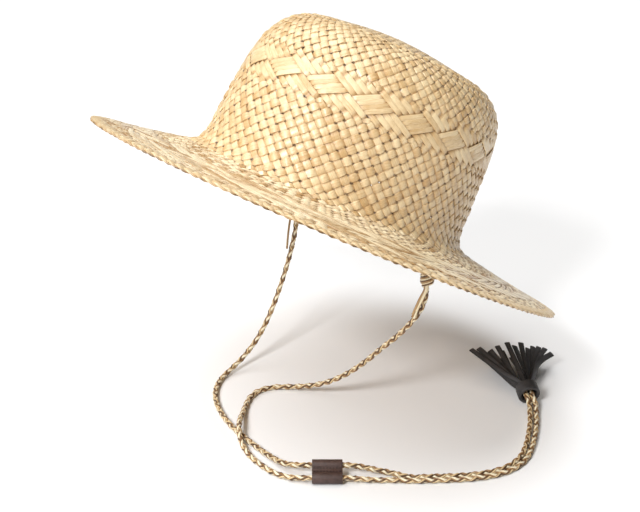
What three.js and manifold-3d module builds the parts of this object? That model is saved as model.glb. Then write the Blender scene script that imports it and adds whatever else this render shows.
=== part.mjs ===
// Boater hat of woven straw, with a braided chin cord, a leather slider and a tassel.
// The hat is tipped back, as it is worn, and its cord hangs from two eyes inside the crown
// and runs over the surface below. Millimetres, +Z up, -Y to the front, +X to the
// wearer's left. The origin is the middle of the head opening.
import * as THREE from 'three';
import { mergeVertices } from 'three/addons/utils/BufferGeometryUtils.js';
import Module from 'manifold-3d';

const wasm = await Module();
wasm.setup();

// Driving dimensions
const TILT = THREE.MathUtils.degToRad(30); // how far the hat is tipped back
const FLOOR_BELOW = 150;                   // from the head opening down to the surface
const STRAW_WALL = 2;                      // two layers of flat straw
const ROUND_STEPS = 72;                    // facets round the hat
const SEAT_GAP = 0.3;                      // between pieces that touch
const SURFACE_GAP = 0.05;                  // under what lies on the surface

const EDGE_WIDTH = 5;                      // plaited edge, outwards
const EDGE_THICKNESS = 4.4;
const EDGE_SIDES = 10;

const CORD_DIAMETER = 4;
const CORD_SIDES = 8;
const PAIR_OFFSET = CORD_DIAMETER / 2 + 0.15;

const EYE_RADIUS = 5;                      // thread eye that the cord is tied through
const EYE_THREAD = 1.1;
const EYE_STEPS = { round: 20, thread: 8 };
const EYE_ANGLE = THREE.MathUtils.degToRad(13); // behind the wearer's side
const EYE_HEIGHT = 15;                     // up the crown wall

const KNOT_BELOW_EYE = 44;
const KNOT_HALF = { x: 5.2, y: 4.6, z: 5.0 };
const KNOT_STEPS = { round: 16, high: 10 };
const BIGHT_HALF = 3.4;                    // half the distance between its two legs
const BIGHT_FOOT_HALF = 2;                 // the same inside the knot
const BIGHT_STEPS = 8;
const TAIL_DIAMETER = 3.4;
const TAIL_HEADING = THREE.MathUtils.degToRad(233); // the way they hang aside on the left
const TAIL_POINTS = [
  { down: 0, aside: 0.2, front: 1.6 },
  { down: 6, aside: 1, front: 4.3 },
  { down: 14, aside: 4, front: 4.6 },
  { down: 27, aside: 8.5, front: 4.6 },
];

const SLIDER_LENGTH = 20;
const SLIDER_CHANNEL_APART = 10.5;
const SLIDER_CHANNEL_RADIUS = CORD_DIAMETER / 2 + SEAT_GAP;
const SLIDER_LEATHER = 1.6;
const SLIDER_WEB_HALF = 1.9;               // half the thickness where it is sewn through
const SLIDER_ARC_STEPS = 12;
const CHANNEL_BEYOND = 4;                  // straight cord past each mouth
const SLIDER_MIDDLE = { x: 96, y: -75 };
const SLIDER_HEADING = THREE.MathUtils.degToRad(53);
const SLIDER_ROLL = THREE.MathUtils.degToRad(20);

const COLLAR_LENGTH = 9;
const COLLAR_OUTER = 8;
const COLLAR_INNER = 5.8;
const COLLAR_CHAMFER = { across: 0.5, along: 0.6 };
const COLLAR_STEPS = 28;
const CORD_PAST_COLLAR_MIDDLE = 0.6;
const TASSEL_MIDDLE = { x: 100, y: 101.4 };
const TASSEL_HEADING = THREE.MathUtils.degToRad(154);
const TASSEL_RISE = THREE.MathUtils.degToRad(18);

// Sections of the upper and outer face, from the rim to the top of the crown. Each is an
// oval: half its width, its reach to the front and to the back, and its height at both.
const SECTIONS = [
  { name: 'rim', heightFront: -12, heightBack: -10.6, side: 157, front: 168.5, back: 180.5 },
  { name: 'brim outer', heightFront: -10.6, heightBack: -9.3, side: 148, front: 160, back: 170.6 },
  { name: 'brim middle', heightFront: -7.6, heightBack: -6.6, side: 130, front: 143.8, back: 150.6 },
  { name: 'brim inner', heightFront: -4, heightBack: -3.4, side: 112, front: 127.4, back: 130.8 },
  { name: 'brim root', heightFront: -1.2, heightBack: -0.8, side: 99, front: 115.4, back: 116 },
  { name: 'fillet outer', heightFront: 1, heightBack: 1.2, side: 91.6, front: 108.6, back: 108 },
  { name: 'fillet middle', heightFront: 4.2, heightBack: 4.4, side: 87.4, front: 104.8, back: 103.6 },
  { name: 'fillet inner', heightFront: 10, heightBack: 10, side: 85.2, front: 102.8, back: 101.2 },
  { name: 'wall low', heightFront: 28, heightBack: 28, side: 83.8, front: 100.6, back: 100.4 },
  { name: 'wall middle', heightFront: 51, heightBack: 51, side: 82.4, front: 97.6, back: 99.8 },
  { name: 'wall high', heightFront: 74, heightBack: 74, side: 80.2, front: 93.2, back: 98.6 },
  { name: 'shoulder low', heightFront: 88, heightBack: 88, side: 77, front: 88.4, back: 96 },
  { name: 'shoulder', heightFront: 98, heightBack: 98, side: 71.6, front: 81.6, back: 91 },
  { name: 'shoulder high', heightFront: 105.6, heightBack: 105.6, side: 63.4, front: 72.6, back: 82.4 },
  { name: 'crown ridge', heightFront: 110, heightBack: 110, side: 53.6, front: 62, back: 71.4 },
  { name: 'top outer', heightFront: 112.6, heightBack: 112.6, side: 40, front: 46, back: 52.5 },
  { name: 'top inner', heightFront: 115.8, heightBack: 115.8, side: 20, front: 23, back: 25.5 },
];
const TOP_HEIGHT = 117.4;

// The chin cord's two strands. x and y in the frame, height of the cord's middle above the
// surface. Each leaves its knot, sags to the surface, and runs to the slider.
const LEFT_STRAND = [
  [74.5, 25.4, 102.6], [73.9, 25, 95], [71, 23.2, 84.6], [65.2, 19.4, 73.4], [57, 14.6, 61.8],
  [47.4, 9.6, 50.4], [38.4, 5.1, 39.4], [28.4, 0.2, 28.6], [17.2, -5.4, 18.6], [6, -11, 11.2],
  [-6, -17, 5.8], [-17, -24, 2.8], [-24.4, -33, 2], [-26, -44, 2], [-21.4, -55.4, 2],
  [-12.6, -65.4, 2], [-3.4, -74, 3.4], [5.4, -82, 6], [14, -88.8, 6.8], [22.6, -94.2, 6],
  [32.4, -98.2, 3.4], [44, -100.6, 2], [58, -101.4, 2], [72, -100, 2], [83, -95.8, 2.8],
];
const RIGHT_STRAND = [
  [-74.5, 25.4, 102.6], [-74.4, 24.6, 95], [-73.6, 20.6, 82], [-72.2, 14.2, 67], [-70.8, 6.8, 52.4],
  [-69.2, -1.4, 38.6], [-68, -10, 26.4], [-66.8, -20, 16.2], [-65.4, -31.4, 8.4],
  [-63, -43.4, 3.8], [-58.4, -54.6, 2.1], [-50, -64.8, 2], [-39, -73.4, 2], [-26, -80, 2],
  [-12, -84.8, 2], [2, -87.8, 2], [16, -89.4, 2], [32, -90.2, 2], [47, -91, 2.6],
  [60, -92, 4.4], [69.6, -92.2, 6], [77, -89.4, 7],
];
// Between the slider and the tassel the strands draw together and lie side by side.
const LEFT_AFTER_SLIDER = [[113.6, -59.6, 3], [119.6, -51.2, 2.1], [126.4, -42, 2]];
const RIGHT_AFTER_SLIDER = [[105.8, -54, 6.4], [112.4, -46, 4.2], [119.8, -38.2, 2.4]];
const PAIR_ROUTE = [
  [131.4, -33, 2], [138.6, -22.6, 2], [146.4, -11, 2], [153.6, 1.4, 2], [158.8, 14.8, 2],
  [160.2, 29.4, 2], [156.4, 43.6, 2], [148, 57, 2], [137.6, 69.8, 2], [126.4, 82, 2],
  [117.6, 90.2, 2.4], [110.4, 96.4, 4.6],
];

// Outer form of the leather fringe, along its own axis from the middle of the collar.
const FRINGE_SECTIONS = [
  { along: 1, half: 5.4, low: 5.4, high: 5.4 },
  { along: 5, half: 5.4, low: 5.4, high: 5.4 },
  { along: 9, half: 9.6, low: 8, high: 6.6 },
  { along: 18, half: 15.4, low: 11.6, high: 6 },
  { along: 32, half: 22.6, low: 16.4, high: 4.4 },
  { along: 46, half: 28.8, low: 20.4, high: 2.8 },
  { along: 56, half: 31.8, low: 22.2, high: 1.4 },
];
const FRINGE_STEPS = 28;

// Finishes
const STRAW = new THREE.MeshStandardMaterial({ color: 0xdcbf8a, roughness: 0.6, metalness: 0 });
const EDGE_STRAW = new THREE.MeshStandardMaterial({ color: 0xcfae76, roughness: 0.62, metalness: 0 });
const BRAID = new THREE.MeshStandardMaterial({ color: 0xa9875a, roughness: 0.5, metalness: 0 });
const THREAD = new THREE.MeshStandardMaterial({ color: 0xc4a473, roughness: 0.75, metalness: 0 });
const BROWN_LEATHER = new THREE.MeshStandardMaterial({ color: 0x3a2824, roughness: 0.5, metalness: 0 });
const BLACK_LEATHER = new THREE.MeshStandardMaterial({ color: 0x232122, roughness: 0.5, metalness: 0 });

/** A named mesh of one closed body. */
function piece(name, geometry, material) {
  const mesh = new THREE.Mesh(geometry, material);
  mesh.name = name;
  return mesh;
}

/** An indexed geometry from vertices and faces of three. */
function indexedGeometry(vertices, faces) {
  const geometry = new THREE.BufferGeometry();
  const positions = vertices.flatMap((v) => [v.x, v.y, v.z]);
  geometry.setAttribute('position', new THREE.Float32BufferAttribute(positions, 3));
  geometry.setIndex(faces.flat());
  geometry.computeVertexNormals();
  return geometry;
}

/** The point of a section's oval at an angle, counted from the wearer's left to the back. */
function sectionPoint(row, angle) {
  const back = Math.sin(angle) > 0;
  const share = Math.sin(angle) ** 2;
  const middleHeight = (row.heightFront + row.heightBack) / 2;
  const endHeight = back ? row.heightBack : row.heightFront;
  return new THREE.Vector3(
    row.side * Math.cos(angle),
    (back ? row.back : row.front) * Math.sin(angle),
    middleHeight + (endHeight - middleHeight) * share,
  );
}

/** Rings of points, one for each section, from the rim inwards. */
function outerRings() {
  return SECTIONS.map((row) => Array.from({ length: ROUND_STEPS }, (_, i) => (
    sectionPoint(row, (2 * Math.PI * i) / ROUND_STEPS))));
}

/** The outward direction of the hat's face at one point of the rings. */
function faceDirection(rings, ring, i) {
  const inner = rings[Math.min(ring + 1, rings.length - 1)][i];
  const outer = rings[Math.max(ring - 1, 0)][i];
  const before = rings[ring][(i + ROUND_STEPS - 1) % ROUND_STEPS];
  const after = rings[ring][(i + 1) % ROUND_STEPS];
  const up = inner.clone().sub(outer);
  const round = after.clone().sub(before);
  return round.cross(up).normalize();
}

/** Joins rings of equal count into side faces; the last ring follows the first. */
function sideFaces(first, second, count) {
  const faces = [];
  for (let i = 0; i < count; i += 1) {
    const next = (i + 1) % count;
    faces.push([first + i, first + next, second + next], [first + i, second + next, second + i]);
  }
  return faces;
}

/** The crown and brim, woven in one, as one wall that is open below. */
function wovenBody() {
  const rings = outerRings();
  const linings = rings.map((ring, r) => ring.map((point, i) => (
    point.clone().addScaledVector(faceDirection(rings, r, i), -STRAW_WALL))));
  const vertices = [...rings.flat(), new THREE.Vector3(0, 0, TOP_HEIGHT)];
  const outerTop = vertices.length - 1;
  const innerStart = vertices.length;
  vertices.push(...linings.flat(), new THREE.Vector3(0, 0, TOP_HEIGHT - STRAW_WALL));
  const innerTop = vertices.length - 1;
  const faces = [];
  for (let r = 0; r + 1 < rings.length; r += 1) {
    const low = r * ROUND_STEPS;
    faces.push(...sideFaces(low, low + ROUND_STEPS, ROUND_STEPS));
    faces.push(...sideFaces(innerStart + low, innerStart + low + ROUND_STEPS, ROUND_STEPS)
      .map(([a, b, c]) => [a, c, b]));
  }
  faces.push(...sideFaces(innerStart, 0, ROUND_STEPS));
  const last = (rings.length - 1) * ROUND_STEPS;
  for (let i = 0; i < ROUND_STEPS; i += 1) {
    const next = (i + 1) % ROUND_STEPS;
    faces.push([last + i, last + next, outerTop]);
    faces.push([innerStart + last + next, innerStart + last + i, innerTop]);
  }
  return piece('woven_body', indexedGeometry(vertices, faces), STRAW);
}

/** The plaited straw edge that is sewn round the rim. */
function brimEdge() {
  const rings = outerRings();
  const vertices = [];
  for (let i = 0; i < ROUND_STEPS; i += 1) {
    const face = faceDirection(rings, 0, i);
    const outwards = rings[0][i].clone().sub(rings[1][i]).normalize();
    const middle = rings[0][i].clone().addScaledVector(face, -STRAW_WALL / 2)
      .addScaledVector(outwards, SEAT_GAP + EDGE_WIDTH / 2);
    for (let k = 0; k < EDGE_SIDES; k += 1) {
      const turn = (2 * Math.PI * k) / EDGE_SIDES;
      vertices.push(middle.clone()
        .addScaledVector(outwards, (EDGE_WIDTH / 2) * Math.cos(turn))
        .addScaledVector(face, (EDGE_THICKNESS / 2) * Math.sin(turn)));
    }
  }
  const faces = [];
  for (let i = 0; i < ROUND_STEPS; i += 1) {
    const next = (i + 1) % ROUND_STEPS;
    faces.push(...sideFaces(i * EDGE_SIDES, next * EDGE_SIDES, EDGE_SIDES)
      .map(([a, b, c]) => [a, c, b]));
  }
  return piece('brim_edge', indexedGeometry(vertices, faces), EDGE_STRAW);
}

/** Turns a point of the level hat into the tipped frame. */
function tipped(point) {
  return point.clone().applyAxisAngle(new THREE.Vector3(1, 0, 0), -TILT);
}

/** The wall row that the eye is sewn to, between two sections, on the inner face. */
function eyeSeat(sign) {
  const angle = sign > 0 ? EYE_ANGLE : Math.PI - EYE_ANGLE;
  const low = SECTIONS.findIndex((row) => row.name === 'fillet inner');
  const from = sectionPoint(SECTIONS[low], angle);
  const to = sectionPoint(SECTIONS[low + 1], angle);
  const onWall = from.lerp(to, (EYE_HEIGHT - from.z) / (to.z - from.z));
  const inwards = new THREE.Vector3(-Math.cos(angle), -Math.sin(angle), 0);
  const middle = onWall.addScaledVector(inwards, STRAW_WALL + EYE_RADIUS + EYE_THREAD + SEAT_GAP);
  return { middle: tipped(middle), inwards: tipped(inwards) };
}

/** The eye's frame: its middle, the hole's level direction and the direction across both. */
function eyeFrame(sign) {
  const { middle, inwards } = eyeSeat(sign);
  const up = new THREE.Vector3(0, 0, 1);
  const hole = inwards.clone().cross(up).normalize();
  return { middle, hole, up };
}

/** The thread eye inside the crown, which the cord is tied through. */
function cordEye(name, sign) {
  const { middle, hole } = eyeFrame(sign);
  const eye = piece(name, new THREE.TorusGeometry(
    EYE_RADIUS, EYE_THREAD, EYE_STEPS.thread, EYE_STEPS.round,
  ), THREAD);
  eye.position.copy(middle);
  eye.quaternion.setFromUnitVectors(new THREE.Vector3(0, 0, 1), hole);
  return eye;
}

/** A round section of the cord, flat side to flat side. */
function cordSection(diameter = CORD_DIAMETER) {
  const shape = new THREE.Shape();
  for (let k = 0; k < CORD_SIDES; k += 1) {
    const turn = (2 * Math.PI * k) / CORD_SIDES;
    const x = (diameter / 2) * Math.cos(turn);
    const y = (diameter / 2) * Math.sin(turn);
    if (k === 0) shape.moveTo(x, y);
    else shape.lineTo(x, y);
  }
  shape.closePath();
  return shape;
}

/** A smooth route whose tube has one facet between each two of its points. */
class Route extends THREE.CatmullRomCurve3 {
  getPointAt(share, target) {
    return this.getPoint(share, target);
  }

  getTangentAt(share, target) {
    return this.getTangent(share, target);
  }
}

/** A tube of cord along points. */
function cordTube(points, diameter = CORD_DIAMETER) {
  return new THREE.ExtrudeGeometry(cordSection(diameter), {
    steps: points.length - 1,
    bevelEnabled: false,
    extrudePath: new Route(points, false, 'centripetal'),
  });
}

/** Makes a closed geometry into a solid that can be joined and cut. */
function solidOf(geometry) {
  const bare = geometry.clone();
  bare.deleteAttribute('normal');
  bare.deleteAttribute('uv');
  const merged = mergeVertices(bare, 1e-4);
  return new wasm.Manifold(new wasm.Mesh({
    numProp: 3,
    vertProperties: Float32Array.from(merged.attributes.position.array),
    triVerts: Uint32Array.from(merged.index.array),
  }));
}

/** A geometry from a solid. */
function geometryOf(solid) {
  const mesh = solid.getMesh();
  const geometry = new THREE.BufferGeometry();
  geometry.setAttribute('position', new THREE.Float32BufferAttribute(mesh.vertProperties, 3));
  geometry.setIndex(Array.from(mesh.triVerts));
  geometry.computeVertexNormals();
  return geometry;
}

/** The cord's tied end: the bight through the eye, the knot and its tail, in one solid. */
function cordKnot(name, sign) {
  const { middle, hole, up } = eyeFrame(sign);
  const bar = middle.clone().addScaledVector(up, -EYE_RADIUS);
  const knot = middle.clone().addScaledVector(up, -KNOT_BELOW_EYE);
  const bend = [];
  for (let k = 0; k <= BIGHT_STEPS; k += 1) {
    const turn = Math.PI * (k / BIGHT_STEPS);
    bend.push(bar.clone()
      .addScaledVector(hole, BIGHT_HALF * Math.cos(turn))
      .addScaledVector(up, BIGHT_HALF * Math.sin(turn)));
  }
  const foot = (side) => knot.clone().addScaledVector(hole, side * BIGHT_FOOT_HALF);
  const bight = cordTube([foot(1), ...bend, foot(-1)]);
  const ball = new THREE.SphereGeometry(1, KNOT_STEPS.round, KNOT_STEPS.high);
  ball.scale(KNOT_HALF.x, KNOT_HALF.y, KNOT_HALF.z);
  ball.translate(knot.x, knot.y, knot.z);
  const tailSide = new THREE.Vector3(sign * Math.cos(TAIL_HEADING), Math.sin(TAIL_HEADING), 0);
  const tailFront = new THREE.Vector3(-sign * tailSide.y, sign * tailSide.x, 0);
  const tail = cordTube(TAIL_POINTS.map(({ down, aside, front }) => knot.clone()
    .addScaledVector(up, -down).addScaledVector(tailSide, aside)
    .addScaledVector(tailFront, front)), TAIL_DIAMETER);
  const joined = solidOf(bight).add(solidOf(ball)).add(solidOf(tail));
  return piece(name, geometryOf(joined), BRAID);
}

/** A route point above the surface, in the frame. */
function aboveSurface([x, y, height]) {
  return new THREE.Vector3(x, y, height - FLOOR_BELOW);
}

/** The slider's frame: its middle, its length, its width and the side that faces up. */
function sliderFrame() {
  const along = new THREE.Vector3(Math.cos(SLIDER_HEADING), Math.sin(SLIDER_HEADING), 0);
  const level = new THREE.Vector3(-along.y, along.x, 0);
  const up = new THREE.Vector3(0, 0, 1);
  const across = level.clone().applyAxisAngle(along, SLIDER_ROLL);
  const face = up.clone().applyAxisAngle(along, SLIDER_ROLL);
  const lobe = SLIDER_CHANNEL_RADIUS + SLIDER_LEATHER;
  const lowChannel = lobe + SURFACE_GAP;
  const rise = (SLIDER_CHANNEL_APART / 2) * Math.sin(SLIDER_ROLL);
  const middle = aboveSurface([SLIDER_MIDDLE.x, SLIDER_MIDDLE.y, lowChannel + rise]);
  return { middle, along, across, face };
}

/** The straight run through a slider channel; side is -1 for the lower one, 1 for the upper. */
function channelRun(side) {
  const { middle, along, across } = sliderFrame();
  const centre = middle.clone().addScaledVector(across, side * (SLIDER_CHANNEL_APART / 2));
  const straight = SLIDER_LENGTH / 2 + CHANNEL_BEYOND;
  return [-straight, -straight / 2, straight / 2, straight]
    .map((distance) => centre.clone().addScaledVector(along, distance));
}

/** The leather sleeve round both strands, sewn between them. */
function cordSlider() {
  const lobe = SLIDER_CHANNEL_RADIUS + SLIDER_LEATHER;
  const half = SLIDER_CHANNEL_APART / 2;
  const meet = Math.asin(SLIDER_WEB_HALF / lobe);
  const shape = new THREE.Shape();
  shape.absarc(half, 0, lobe, Math.PI - meet, -Math.PI + meet, true);
  shape.absarc(-half, 0, lobe, -meet, meet - 2 * Math.PI, true);
  shape.closePath();
  for (const side of [-1, 1]) {
    const channel = new THREE.Path();
    channel.absarc(side * half, 0, SLIDER_CHANNEL_RADIUS, 0, 2 * Math.PI, false);
    shape.holes.push(channel);
  }
  const geometry = new THREE.ExtrudeGeometry(shape, {
    depth: SLIDER_LENGTH, steps: 1, bevelEnabled: false, curveSegments: SLIDER_ARC_STEPS,
  });
  geometry.translate(0, 0, -SLIDER_LENGTH / 2);
  const { middle, across, face } = sliderFrame();
  const slider = piece('cord_slider', geometry, BROWN_LEATHER);
  slider.position.copy(middle);
  const turn = new THREE.Matrix4().makeBasis(across, face, across.clone().cross(face));
  slider.quaternion.setFromRotationMatrix(turn);
  return slider;
}

/** The tassel's frame: the middle of its collar, its axis and its level side. */
function tasselFrame() {
  const axis = new THREE.Vector3(
    Math.cos(TASSEL_HEADING) * Math.cos(TASSEL_RISE),
    Math.sin(TASSEL_HEADING) * Math.cos(TASSEL_RISE),
    Math.sin(TASSEL_RISE),
  );
  const side = new THREE.Vector3(-Math.sin(TASSEL_HEADING), Math.cos(TASSEL_HEADING), 0);
  const height = COLLAR_OUTER * Math.cos(TASSEL_RISE) + (COLLAR_LENGTH / 2) * Math.sin(TASSEL_RISE);
  const middle = aboveSurface([TASSEL_MIDDLE.x, TASSEL_MIDDLE.y, height + SURFACE_GAP]);
  return { middle, axis, side, up: axis.clone().cross(side) };
}

/** The leather ring that holds the fringe and takes the ends of the cord. */
function tasselCollar() {
  const half = COLLAR_LENGTH / 2;
  const face = COLLAR_OUTER - COLLAR_CHAMFER.across;
  const wall = half - COLLAR_CHAMFER.along;
  const profile = [
    [COLLAR_INNER, -half], [face, -half], [COLLAR_OUTER, -wall], [COLLAR_OUTER, wall],
    [face, half], [COLLAR_INNER, half], [COLLAR_INNER, -half],
  ].map(([r, z]) => new THREE.Vector2(r, z));
  const collar = piece('tassel_collar', new THREE.LatheGeometry(profile, COLLAR_STEPS), BLACK_LEATHER);
  const { middle, axis } = tasselFrame();
  collar.position.copy(middle);
  collar.quaternion.setFromUnitVectors(new THREE.Vector3(0, 1, 0), axis);
  return collar;
}

/** The fringe's outer form, fanned out on the surface. */
function tasselFringe() {
  const { middle, axis, side, up } = tasselFrame();
  const vertices = [];
  for (const row of FRINGE_SECTIONS) {
    for (let k = 0; k < FRINGE_STEPS; k += 1) {
      const turn = (2 * Math.PI * k) / FRINGE_STEPS;
      const lift = Math.sin(turn) * (Math.sin(turn) > 0 ? row.high : row.low);
      vertices.push(middle.clone().addScaledVector(axis, row.along)
        .addScaledVector(side, row.half * Math.cos(turn)).addScaledVector(up, lift));
    }
  }
  const faces = [];
  for (let r = 0; r + 1 < FRINGE_SECTIONS.length; r += 1) {
    faces.push(...sideFaces(r * FRINGE_STEPS, (r + 1) * FRINGE_STEPS, FRINGE_STEPS));
  }
  const last = (FRINGE_SECTIONS.length - 1) * FRINGE_STEPS;
  for (let k = 1; k + 1 < FRINGE_STEPS; k += 1) {
    faces.push([0, k + 1, k], [last, last + k, last + k + 1]);
  }
  return piece('tassel_fringe', indexedGeometry(vertices, faces), BLACK_LEATHER);
}

/** Points of the pair's route, moved aside by the strand's half of the pair. */
function pairStrand(side) {
  const middle = PAIR_ROUTE.map(aboveSurface);
  const { middle: collar, axis, side: level } = tasselFrame();
  middle.push(collar.clone().addScaledVector(axis, -COLLAR_LENGTH / 2));
  middle.push(collar.clone().addScaledVector(axis, CORD_PAST_COLLAR_MIDDLE));
  return middle.map((point, i) => {
    const before = middle[Math.max(i - 1, 0)];
    const after = middle[Math.min(i + 1, middle.length - 1)];
    const run = after.clone().sub(before).setZ(0).normalize();
    const outside = i < PAIR_ROUTE.length
      ? new THREE.Vector3(run.y, -run.x, 0)
      : level.clone().multiplyScalar(-1);
    return point.clone().addScaledVector(outside, side * PAIR_OFFSET);
  });
}

/** One strand of the chin cord, from under its knot to the tassel. */
function chinCord(name, strand, channel, afterSlider, pairSide) {
  const points = [
    ...strand.map(aboveSurface),
    ...channelRun(channel),
    ...afterSlider.map(aboveSurface),
    ...pairStrand(pairSide),
  ];
  return piece(name, cordTube(points), BRAID);
}

const group = new THREE.Group();

const hat = new THREE.Group();
hat.rotation.x = -TILT;
hat.add(wovenBody());
hat.add(brimEdge());
group.add(hat);

group.add(cordEye('cord_eye_left', 1));
group.add(cordEye('cord_eye_right', -1));
group.add(cordKnot('cord_knot_left', 1));
group.add(cordKnot('cord_knot_right', -1));
group.add(chinCord('chin_cord_left', LEFT_STRAND, -1, LEFT_AFTER_SLIDER, 1));
group.add(chinCord('chin_cord_right', RIGHT_STRAND, 1, RIGHT_AFTER_SLIDER, -1));
group.add(cordSlider());
group.add(tasselCollar());
group.add(tasselFringe());

export default group;
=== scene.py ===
"""Boater hat of woven straw, with a braided chin cord, a leather slider and a tassel.

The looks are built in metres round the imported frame: -Y to the front, +X to the wearer's
left, +Z up, with the origin in the middle of the head opening. Sizes below are in
millimetres unless a name says otherwise, and MM turns them into metres.
"""

import logging
import math
from dataclasses import dataclass, field
from enum import Enum
from typing import Any, Mapping, Optional, Sequence, Union

import bpy
import numpy as np
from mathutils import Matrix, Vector


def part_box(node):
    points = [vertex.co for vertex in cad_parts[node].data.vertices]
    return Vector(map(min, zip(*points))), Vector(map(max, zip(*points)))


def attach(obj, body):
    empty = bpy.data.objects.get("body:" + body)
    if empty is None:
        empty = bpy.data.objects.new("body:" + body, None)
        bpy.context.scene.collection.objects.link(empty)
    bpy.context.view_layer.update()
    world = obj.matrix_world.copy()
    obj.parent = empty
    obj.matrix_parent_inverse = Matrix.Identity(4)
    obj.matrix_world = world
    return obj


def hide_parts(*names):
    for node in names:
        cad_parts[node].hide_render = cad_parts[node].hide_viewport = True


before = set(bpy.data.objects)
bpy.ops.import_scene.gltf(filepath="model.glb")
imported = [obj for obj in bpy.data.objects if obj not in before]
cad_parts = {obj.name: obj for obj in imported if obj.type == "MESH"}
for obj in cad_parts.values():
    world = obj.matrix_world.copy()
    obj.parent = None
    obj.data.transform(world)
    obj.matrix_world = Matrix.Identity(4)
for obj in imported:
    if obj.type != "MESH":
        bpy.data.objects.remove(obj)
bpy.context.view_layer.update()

LOG = logging.getLogger("boater_hat")
MM = 0.001
ROOT = "root"
ROUND = 2 * math.pi
Array = np.ndarray
Triple = tuple[float, float, float]

# The hat is tipped back by TILT, and the surface that the cord lies on is FLOOR_BELOW the origin.
TILT = math.radians(30)
FLOOR_BELOW = 150.0
UP = np.array([0.0, 0.0, 1.0])


class Turn(Enum):
    """Which way a family of straws winds round the hat as it runs down."""

    LEFTWARD = 1
    RIGHTWARD = -1


class Side(Enum):
    """The wearer's side, by the sign of its x."""

    LEFT = 1
    RIGHT = -1

    @property
    def word(self) -> str:
        """The side in the names of pieces and nodes."""
        return self.name.lower()


class LampKind(Enum):
    """What sort of light a lamp is, with the name of its size."""

    AREA = "size"
    SUN = "angle"


# ---------------------------------------------------------------- node helpers


class Sock:
    """An output socket that takes part in arithmetic and adds its own nodes."""

    def __init__(self, tree: "Tree", socket: bpy.types.NodeSocket) -> None:
        """Keeps the socket and the tree that it belongs to."""
        self.tree = tree
        self.socket = socket

    @property
    def is_vector(self) -> bool:
        """True for a vector socket."""
        return self.socket.type in {"VECTOR", "RGBA"}

    def _pair(self, operation: str, first: "Operand", second: "Operand") -> "Sock":
        """Adds a Math node, or a Vector Math node where a vector takes part.

        Args:
            operation: What the node does.
            first: The operand on the left.
            second: The operand on the right.

        Returns:
            The result.
        """
        vectors = [isinstance(v, Sock) and v.is_vector for v in (first, second)]
        kind, values = "ShaderNodeVectorMath", {0: first, 1: second}
        if not any(vectors):
            kind = "ShaderNodeMath"
        elif operation == "MULTIPLY" and not all(vectors):
            vector, factor = (first, second) if vectors[0] else (second, first)
            operation, values = "SCALE", {0: vector, "Scale": factor}
        return self.tree.node(kind, {"operation": operation}, values)

    def __add__(self, other: "Operand") -> "Sock":
        """self + other."""
        return self._pair("ADD", self, other)

    def __radd__(self, other: "Operand") -> "Sock":
        """other + self."""
        return self._pair("ADD", other, self)

    def __sub__(self, other: "Operand") -> "Sock":
        """self - other."""
        return self._pair("SUBTRACT", self, other)

    def __rsub__(self, other: "Operand") -> "Sock":
        """other - self."""
        return self._pair("SUBTRACT", other, self)

    def __mul__(self, other: "Operand") -> "Sock":
        """self * other."""
        return self._pair("MULTIPLY", self, other)

    def __rmul__(self, other: "Operand") -> "Sock":
        """other * self."""
        return self._pair("MULTIPLY", other, self)

    def __truediv__(self, other: "Operand") -> "Sock":
        """self / other."""
        return self._pair("DIVIDE", self, other)

    def __rtruediv__(self, other: "Operand") -> "Sock":
        """other / self."""
        return self._pair("DIVIDE", other, self)

    def __abs__(self) -> "Sock":
        """The size of a number."""
        return self.tree.node("ShaderNodeMath", {"operation": "ABSOLUTE"}, {0: self})


Operand = Union[float, Sock]


class Tree:
    """Adds nodes to one node tree."""

    def __init__(self, node_tree: bpy.types.NodeTree) -> None:
        """Keeps the tree that nodes are added to."""
        self.node_tree = node_tree

    def put(self, socket: bpy.types.NodeSocket, value: Any) -> None:
        """Links or sets one input socket.

        Args:
            socket: The input to fill.
            value: A Sock to link, or a plain value.
        """
        if isinstance(value, Sock):
            self.node_tree.links.new(value.socket, socket)
        else:
            socket.default_value = value

    def node(
        self,
        kind: str,
        settings: Optional[Mapping[str, Any]] = None,
        values: Optional[Mapping[Union[int, str], Any]] = None,
        out: Union[int, str] = 0,
    ) -> Sock:
        """Adds a node of any type.

        Args:
            kind: The node's type name.
            settings: Its properties, set first; "stops" holds a ramp's (place, colour) pairs.
            values: Values or links for its inputs, by name or number.
            out: The output to return.

        Returns:
            The chosen output.
        """
        made = self.node_tree.nodes.new(kind)
        for name, value in (settings or {}).items():
            if name == "stops":
                self._set_stops(made.color_ramp, value)
            else:
                setattr(made, name, value)
        for key, value in (values or {}).items():
            self.put(made.inputs[key], value)
        return Sock(self, made.outputs[out])

    @staticmethod
    def _set_stops(ramp: bpy.types.ColorRamp, stops: Sequence[tuple[float, Triple]]) -> None:
        """Fills a colour ramp.

        Args:
            ramp: The ramp.
            stops: A place and a colour for each stop.
        """
        while len(ramp.elements) < len(stops):
            ramp.elements.new(1.0)
        for element, (place, colour) in zip(ramp.elements, stops):
            element.position = place
            element.color = (*colour, 1.0)


def linked(name: str, data: bpy.types.ID) -> bpy.types.Object:
    """A new object in the scene.

    Args:
        name: Its name.
        data: Its mesh, light or camera.

    Returns:
        The object.
    """
    made = bpy.data.objects.new(name, data)
    bpy.context.scene.collection.objects.link(made)
    return made


# ---------------------------------------------------------------- finishes


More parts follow.
